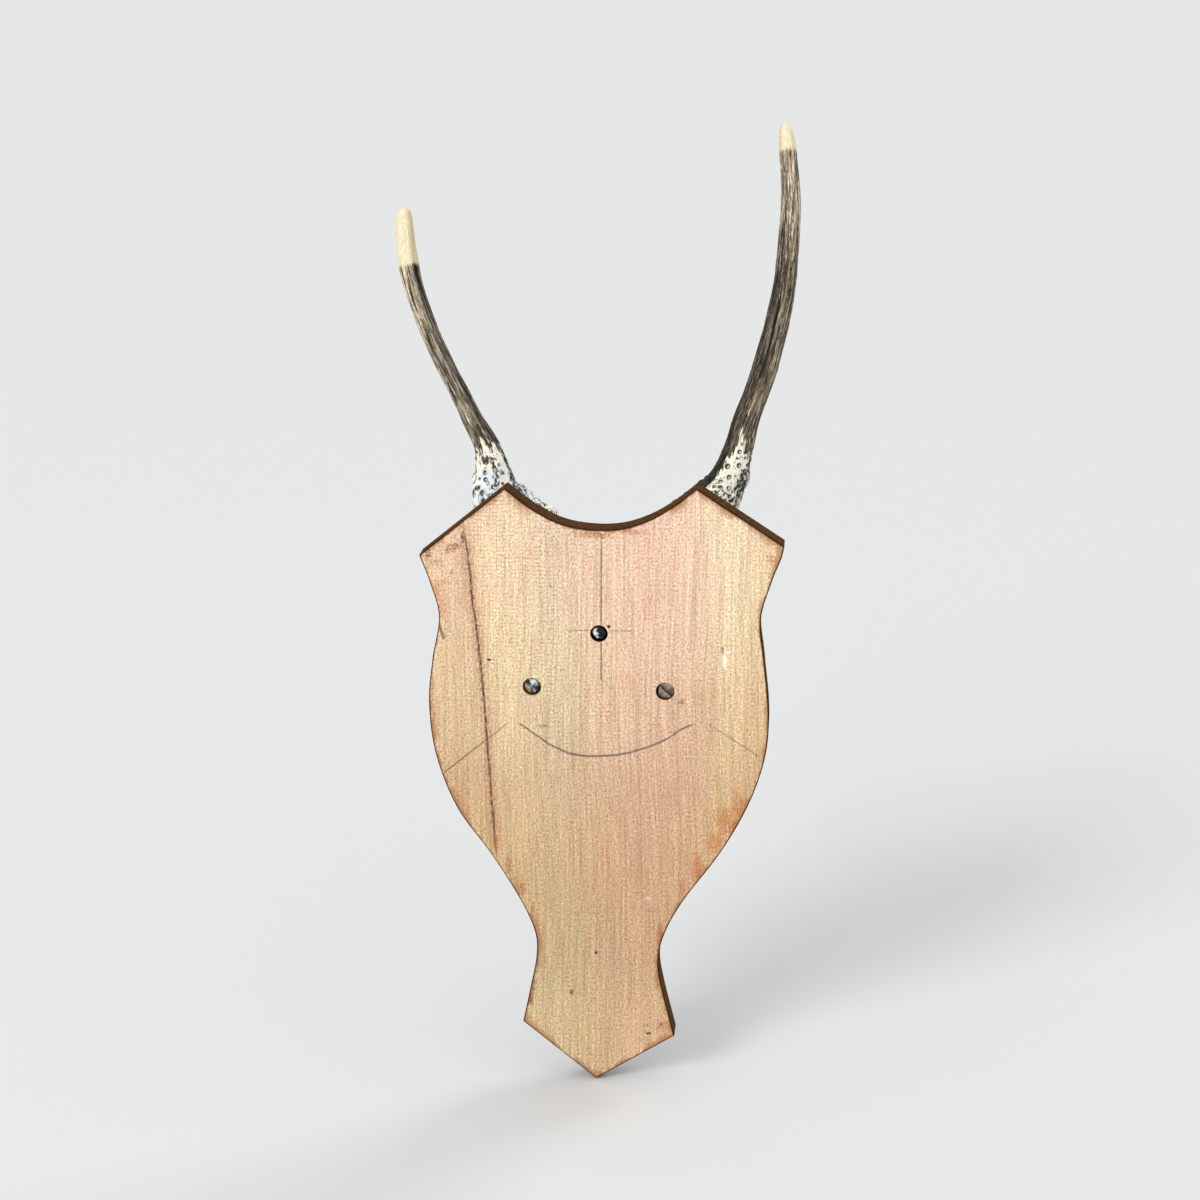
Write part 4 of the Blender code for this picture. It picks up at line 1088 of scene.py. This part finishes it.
RINGS = {                       # ring-shaped pits: up the beam, across, outer radius in millimetres
    "left": [(42.2, -0.28, 1.1), (38.8, -0.27, 1.2), (39.5, -0.6, 0.9), (35.0, 0.1, 1.0),
             (33.0, -0.4, 1.2), (44.5, 0.62, 0.8), (30.5, 0.4, 1.0), (36.0, 0.55, 0.8), (29.0, -0.1, 1.3)],
    "right": [(39.1, -0.4, 1.45), (47.3, 0.09, 1.1), (41.1, 0.29, 1.25), (34.6, -0.08, 1.15),
              (30.8, -0.41, 1.0), (28.6, -0.22, 1.0), (30.0, 0.1, 0.85), (24.6, 0.01, 0.7),
              (27.0, 0.34, 0.95), (23.8, -0.46, 0.85), (25.2, -0.26, 0.85), (51.0, 0.17, 0.8),
              (44.0, 0.05, 0.6), (36.0, 0.25, 0.6), (45.0, 0.62, 0.8)],
}


def steps_between(low, high, wide):
    return np.linspace(low, high, max(2, round((high - low) / wide)), endpoint=False)


def swell(distance, reach):
    return share(1 - (distance / reach) ** 2) ** 1.5


for antler_name, knots in BEAMS.items():
    dice = random.Random("deer " + antler_name)
    line = smooth_path(knots, 24)
    walked = np.concatenate([[0], np.cumsum(np.linalg.norm(np.diff(line[:, :3], axis=0), axis=1))])
    length = walked[-1]
    tip_starts = length - ROUND_TIP
    tip = length - ROUND_TIP * (1 - np.sin(np.linspace(0, math.pi / 2, 9)[1:-1]))
    along = np.concatenate([steps_between(0, PEARLED, 0.36), steps_between(PEARLED, tip_starts, 0.85),
                            [tip_starts], tip])
    middle = np.column_stack([np.interp(along, walked, line[:, k]) for k in range(3)])
    girth = np.interp(along, walked, line[:, 3])
    girth *= np.sqrt(share(1 - (np.clip(along - tip_starts, 0, None) / ROUND_TIP) ** 2))
    way = np.gradient(middle, along, axis=0)
    way /= np.linalg.norm(way, axis=1)[:, None]
    front = np.array([0.0, 1.0, 0.0])
    fronts = []
    for w in way:
        front = front - (front @ w) * w
        front /= np.linalg.norm(front)
        fronts.append(front)
    fronts = np.array(fronts)
    sides = np.cross(way, fronts)
    turn = np.linspace(0, 2 * math.pi, AROUND, endpoint=False)
    cos, sin = np.cos(turn)[None, :], np.sin(turn)[None, :]
    out_from_middle = fronts[:, None, :] * cos[..., None] + sides[:, None, :] * sin[..., None]
    far = np.repeat(along[:, None], AROUND, axis=1)
    round_mm = girth[:, None]
    straight = np.stack([round_mm * cos, round_mm * sin, far], axis=2).reshape(-1, 3)
    seed = 11 if antler_name == "left" else 23
    fade = np.clip((length - far) / 26, 0.12, 1) ** 0.8
    base = share((58 - far) / 46)

    def grown(scale, number):
        return rough(straight, scale, seed + number).reshape(far.shape)

    gutters = grown((0.58, 0.58, 0.026), 0)
    threads = grown((1.5, 1.5, 0.075), 1)
    lumps = grown((0.11, 0.11, 0.05), 2)
    grit = grown((1.9, 1.9, 0.6), 3)
    ribs = 0.42 * gutters + 0.22 * threads
    relief = fade * (ribs * (1 - 0.35 * base) + 0.45 * lumps + 0.10 * grit)

    # Pearls thin out up the shaft; the burr is a ring of larger knobs.
    def away_from(at, angle, squash=1.0):
        sideways = np.abs((turn - angle + math.pi) % (2 * math.pi) - math.pi)[None, :] * round_mm
        return np.hypot(sideways, (far - at) * squash)

    pearls, moats, pits, blots = [np.zeros_like(far) for _ in range(4)]
    for _ in range(PEARLS):
        at = 5 + 42 * dice.random() ** 1.5
        angle, size = dice.uniform(0, 2 * math.pi), dice.uniform(0.8, 1.8) * (1.15 - at / 62)
        away = away_from(at, angle, 0.75)
        pearls = np.maximum(pearls, size * 0.46 * swell(away, size * 1.15))
        moats = np.maximum(moats, share(1 - np.abs(away - size * 1.15) / 0.35))
    burr = np.zeros_like(far)
    for k in range(BURR_KNOBS):
        angle = 2 * math.pi * (k + dice.uniform(-0.28, 0.28)) / BURR_KNOBS
        at, size = dice.uniform(4.2, 7.4), dice.uniform(2.0, 3.1)
        away = away_from(at, angle, 0.8)
        burr = np.maximum(burr, size * 0.50 * swell(away, size * 1.1))
        moats = np.maximum(moats, 0.8 * share(1 - np.abs(away - size * 1.1) / 0.5))
    rings = [(at, math.asin(across), size) for at, across, size in RINGS[antler_name]]
    for _ in range(STRAY_RINGS):
        rings.append((9 + 40 * dice.random(), dice.uniform(1.45, 4.85), dice.uniform(0.6, 1.2)))
    for at, angle, size in rings:
        away = away_from(at, angle) / size
        aside = 0.3 * size / np.interp(at, along, girth)
        island = away_from(at - 0.26 * size * dice.random(), angle + aside) / size
        ring = share((1.12 - away) / 0.22) * share((island - dice.uniform(0.12, 0.5)) / 0.16)
        pits = np.maximum(pits, ring)
    ragged = grown((0.9, 0.9, 0.5), 7)
    for at, across, tall, broad in BLOTS[antler_name]:
        away = np.hypot((sin - across) / broad, (far - at) / tall) + 0.9 * ragged
        blots = np.maximum(blots, share((1.15 - away) / 0.3) * (cos > -0.45))
    for _ in range(FAR_BLOTS):
        at, angle = 8 + 36 * dice.random(), dice.uniform(1.9, 4.4)
        away = away_from(at, angle, 0.6) / dice.uniform(0.7, 1.8) + 0.9 * ragged
        blots = np.maximum(blots, share((1.0 - away) / 0.3))
    lifted = relief + pearls + burr - 0.36 * pits + 0.5 * blots * ragged
    reach = girth[:, None] + np.where(girth[:, None] > 1.0, lifted, lifted * girth[:, None])

    # The knob low on the outer side, melted into the beam.
    knob = np.array(OUTER_KNOB[antler_name])
    origin = (middle - knob)[:, None, :] / KNOB_RADII[antler_name]
    heading = out_from_middle / KNOB_RADII[antler_name]
    a, b, c = (heading**2).sum(2), (origin * heading).sum(2), (origin**2).sum(2) - 1
    root = b**2 - a * c
    hit = np.where(root > 0, (-b + np.sqrt(np.clip(root, 0, None))) / a, 0)
    # Painted shade in the crease where the knob meets the beam, and a painted highlight on its crest, where
    # the dark marks are thinned.
    knob_crease_shade = share(1 - np.abs(hit - reach) / 0.6)
    knob_crest_highlight = share((hit - reach - 0.9) / 0.5)
    reach = np.where(hit > reach, hit + 0.25 * lifted, reach)

    skin = (middle[:, None, :] + out_from_middle * reach[..., None]).reshape(-1, 3)
    rows_count = len(along)
    heel = middle[0] + way[0] * 1.2
    tip_at = middle[-1] + way[-1] * (length - along[-1])
    vertices = np.vstack([skin, heel, tip_at])
    faces = []
    for i in range(rows_count - 1):
        for j in range(AROUND):
            k = (j + 1) % AROUND
            faces.append((i * AROUND + j, i * AROUND + k, (i + 1) * AROUND + k, (i + 1) * AROUND + j))
    last = (rows_count - 1) * AROUND
    for j in range(AROUND):
        k = (j + 1) % AROUND
        faces.append((k, j, len(skin)))
        faces.append((last + j, last + k, len(skin) + 1))
    antler_mesh = bpy.data.meshes.new(f"antler_{antler_name}_beam")
    antler_mesh.from_pydata((vertices * MM).tolist(), [], faces)
    antler = bpy.data.objects.new(f"antler_{antler_name}_beam", antler_mesh)
    scene.collection.objects.link(antler)

    ends = [0.0, 0.0]
    straightened = np.vstack([straight, (0, 0, 0), (0, 0, length)])
    tongues = grown((0.55, 0.55, 0.06), 5) + 0.6 * grown((1.6, 1.6, 0.22), 6)
    white_edge = 45 + 11 * tongues
    board_side = share(1.1 + 2 * cos)
    seen_edge = np.interp(sin, *WHITE_EDGE[antler_name]) + 5 * tongues
    white_edge = white_edge * (1 - board_side) + seen_edge * board_side
    frayed = grown((1.3, 1.3, 0.32), 12)
    slivers = grown((1.5, 1.5, 0.11), 13)
    past_edge = far - white_edge - 6 * frayed
    white_slivers = share((slivers - 0.3 - past_edge / 50) / 0.07) * (past_edge < 22) * board_side
    bleached = np.maximum(share(0.5 - past_edge / 0.9), white_slivers)
    ivory = share((far - (length - IVORY_LENGTH[antler_name]) - 0.9 * tongues) / 1.8 + 0.5)
    inner = sin * (1 if antler_name == "left" else -1) + 0 * far
    patchy = grown((1.0, 1.0, 0.8), 8)
    blots *= np.clip(1.3 + 2.2 * patchy, 0.15, 1)
    speckled = grown((0.85, 0.85, 0.55), 9)
    flecked = share((np.abs(speckled) - 0.27) / 0.06) * share((36 - far) / 10)
    broken_moats = moats * share((grown((0.6, 0.6, 0.6), 10) + 0.02) / 0.1)
    far_side = 1 - board_side
    # Dark marks: pits, blots, moats and flecks, thinned on the knob's crest as a painted highlight, with
    # painted shade added in the knob's crease.
    dirt_and_knob_shade = np.maximum.reduce([pits * (1 - 0.3 * far_side), blots, broken_moats, 0.85 * moats * far_side,
                              flecked * board_side]) * (1 - 0.35 * knob_crest_highlight)
    dirt_and_knob_shade = np.maximum(dirt_and_knob_shade, knob_crease_shade)
    crest = ribs + 0.6 * pearls
    for label, values in (("bleached", bleached), ("ivory", ivory), ("crest", crest), ("dirt_and_knob_shade", dirt_and_knob_shade),
                          ("inner", inner)):
        kept = antler_mesh.attributes.new(label, "FLOAT", "POINT")
        kept.data.foreach_set("value", np.append(values.ravel(), ends))
    kept = antler_mesh.attributes.new("straight", "FLOAT_VECTOR", "POINT")
    kept.data.foreach_set("vector", straightened.ravel())

    t, antler_shader = new_material(f"antler_{antler_name}_horn", antler)
    unbent = stored(t, "straight", "Vector")
    bleach, ivory_tip, raised, grime_and_painted_light, inside = [stored(t, label)
                                                for label in ("bleached", "ivory", "crest", "dirt_and_knob_shade", "inner")]
    up_beam = split(unbent)["Z"]
    marks = use_group(bone_group, {"Place": unbent, "Pit Size": 1.5, "Pit Amount": 0.5})
    streaks = mottle(stretch(unbent, (1.1, 1.1, 0.075), (seed, 0, 0)), 4.0, 0.66)
    fine_streaks = mottle(stretch(unbent, (3.0, 3.0, 0.42), (0, seed, 0)), 3.0, 0.7)
    broad = mottle(stretch(unbent, (0.14, 0.14, 0.035), (0, 0, seed)), 2.0, 0.5)
    lift_from, lift_to, lift_by, inner_left = LIGHTER_SHAFT[antler_name]
    lifted_here = rise(up_beam, lift_from, lift_to)
    streaks = streaks + lifted_here * lift_by
    shaft = ramp(streaks, [(0.32, (34, 29, 24)), (0.46, (80, 69, 57)), (0.56, (122, 108, 90)),
                           (0.68, (204, 190, 166))])
    shaft = blend(0.9, shaft, ramp(fine_streaks, [(0.34, 0.34), (0.5, 0.95), (0.66, 1.7)]), "MULTIPLY")
    shaft = blend(0.7, shaft, ramp(broad, [(0.35, 0.75), (0.62, 1.2)]), "MULTIPLY")
    flecks = rise(mottle(stretch(unbent, (2.2, 2.2, 0.2), (5, seed, 0)), 3.0, 0.7), 0.58, 0.64)
    shaft = tinted(shaft, flecks, 0.75, (222, 208, 184))
    shaft = tinted(shaft, rise(raised, 0.06, 0.32), 0.55, (196, 180, 154))
    shaft = blend(rise(-raised, 0.06, 0.3), shaft, paint(34, 29, 26))
    crack = mottle(stretch(unbent, (0.75, 0.75, 0.03), (2, 0, seed)), 3.0, 0.6)
    shaft = tinted(shaft, fall(abs(crack - 0.5), 0.004, 0.02), 0.7, (26, 22, 20))
    inner_tone = ramp(inside * 0.5 + 0.5, [(0.15, 1.12), (0.62, 0.85), (0.92, 0.4)])
    shaft = blend(1.0 - lifted_here * (1.0 - inner_left), shaft, inner_tone, "MULTIPLY")
    low_inside = rise(inside, 0.15, 0.55) * fall(up_beam, 34.0, 66.0)
    shaft = tinted(shaft, low_inside, 0.62, (26, 21, 17))
    shaft = blend(1.0, shaft, ramp(up_beam / length, [(0.45, 0.92), (0.92, 1.35)]), "MULTIPLY")
    toward_board = rise(split(in_mm(t))["Y"], -71.0, -63.0)
    # On the board's side the left antler's bone is painted a bluish white as cool shade; the right antler's
    # is a warm cream.
    board_side_white_and_cool_shade = (222, 232, 240) if antler_name == "left" else (244, 240, 222)
    white = blend(toward_board, paint(236, 229, 208), paint(*board_side_white_and_cool_shade))
    bare_bone = blend(rise(marks["Clouds"], 0.42, 0.66), white, paint(246, 242, 228))
    bare_bone = blend(rise(up_beam, 40.0, 47.0), bare_bone, paint(246, 240, 222))
    bare_bone = tinted(bare_bone, marks["Pits"], 0.85, (58, 54, 50))
    grime_colour = blend(toward_board, paint(92, 76, 56), paint(46, 42, 36))
    # The dark marks, with the painted shade of the knob's crease, laid over the bare bone.
    bare_bone = blend(grime_and_painted_light * (toward_board * 0.22 + 0.75), bare_bone, grime_colour)
    tip_colour = blend(rise(fine_streaks, 0.42, 0.62), paint(238, 231, 202), paint(222, 204, 158))
    tip_colour = tinted(tip_colour, rise(-inside, 0.3, 0.9), 0.5, (214, 200, 164))
    tip_colour = tinted(tip_colour, rise(inside, 0.45, 0.95), 0.45, (176, 140, 96))
    tip_colour = tinted(tip_colour, rise(fine_streaks, 0.58, 0.66), 0.35, (150, 118, 78))
    feed(blend(ivory_tip, blend(bleach, shaft, bare_bone), tip_colour), antler_shader["Base Color"])
    sheen = blend(ivory_tip, ramp(streaks, [(0.3, 0.66), (0.7, 0.46)]), (0.34, 0.34, 0.34, 1))
    feed(sheen, antler_shader["Roughness"])
    roughen(fine_streaks * 0.7 + marks["Height"] * bleach, 0.6, 0.22, antler_shader)
    antler_shader["Specular IOR Level"].default_value = 0.10
    pick(antler)
    bpy.ops.object.shade_smooth()
    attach(antler, "root")
    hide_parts("antler_" + antler_name)
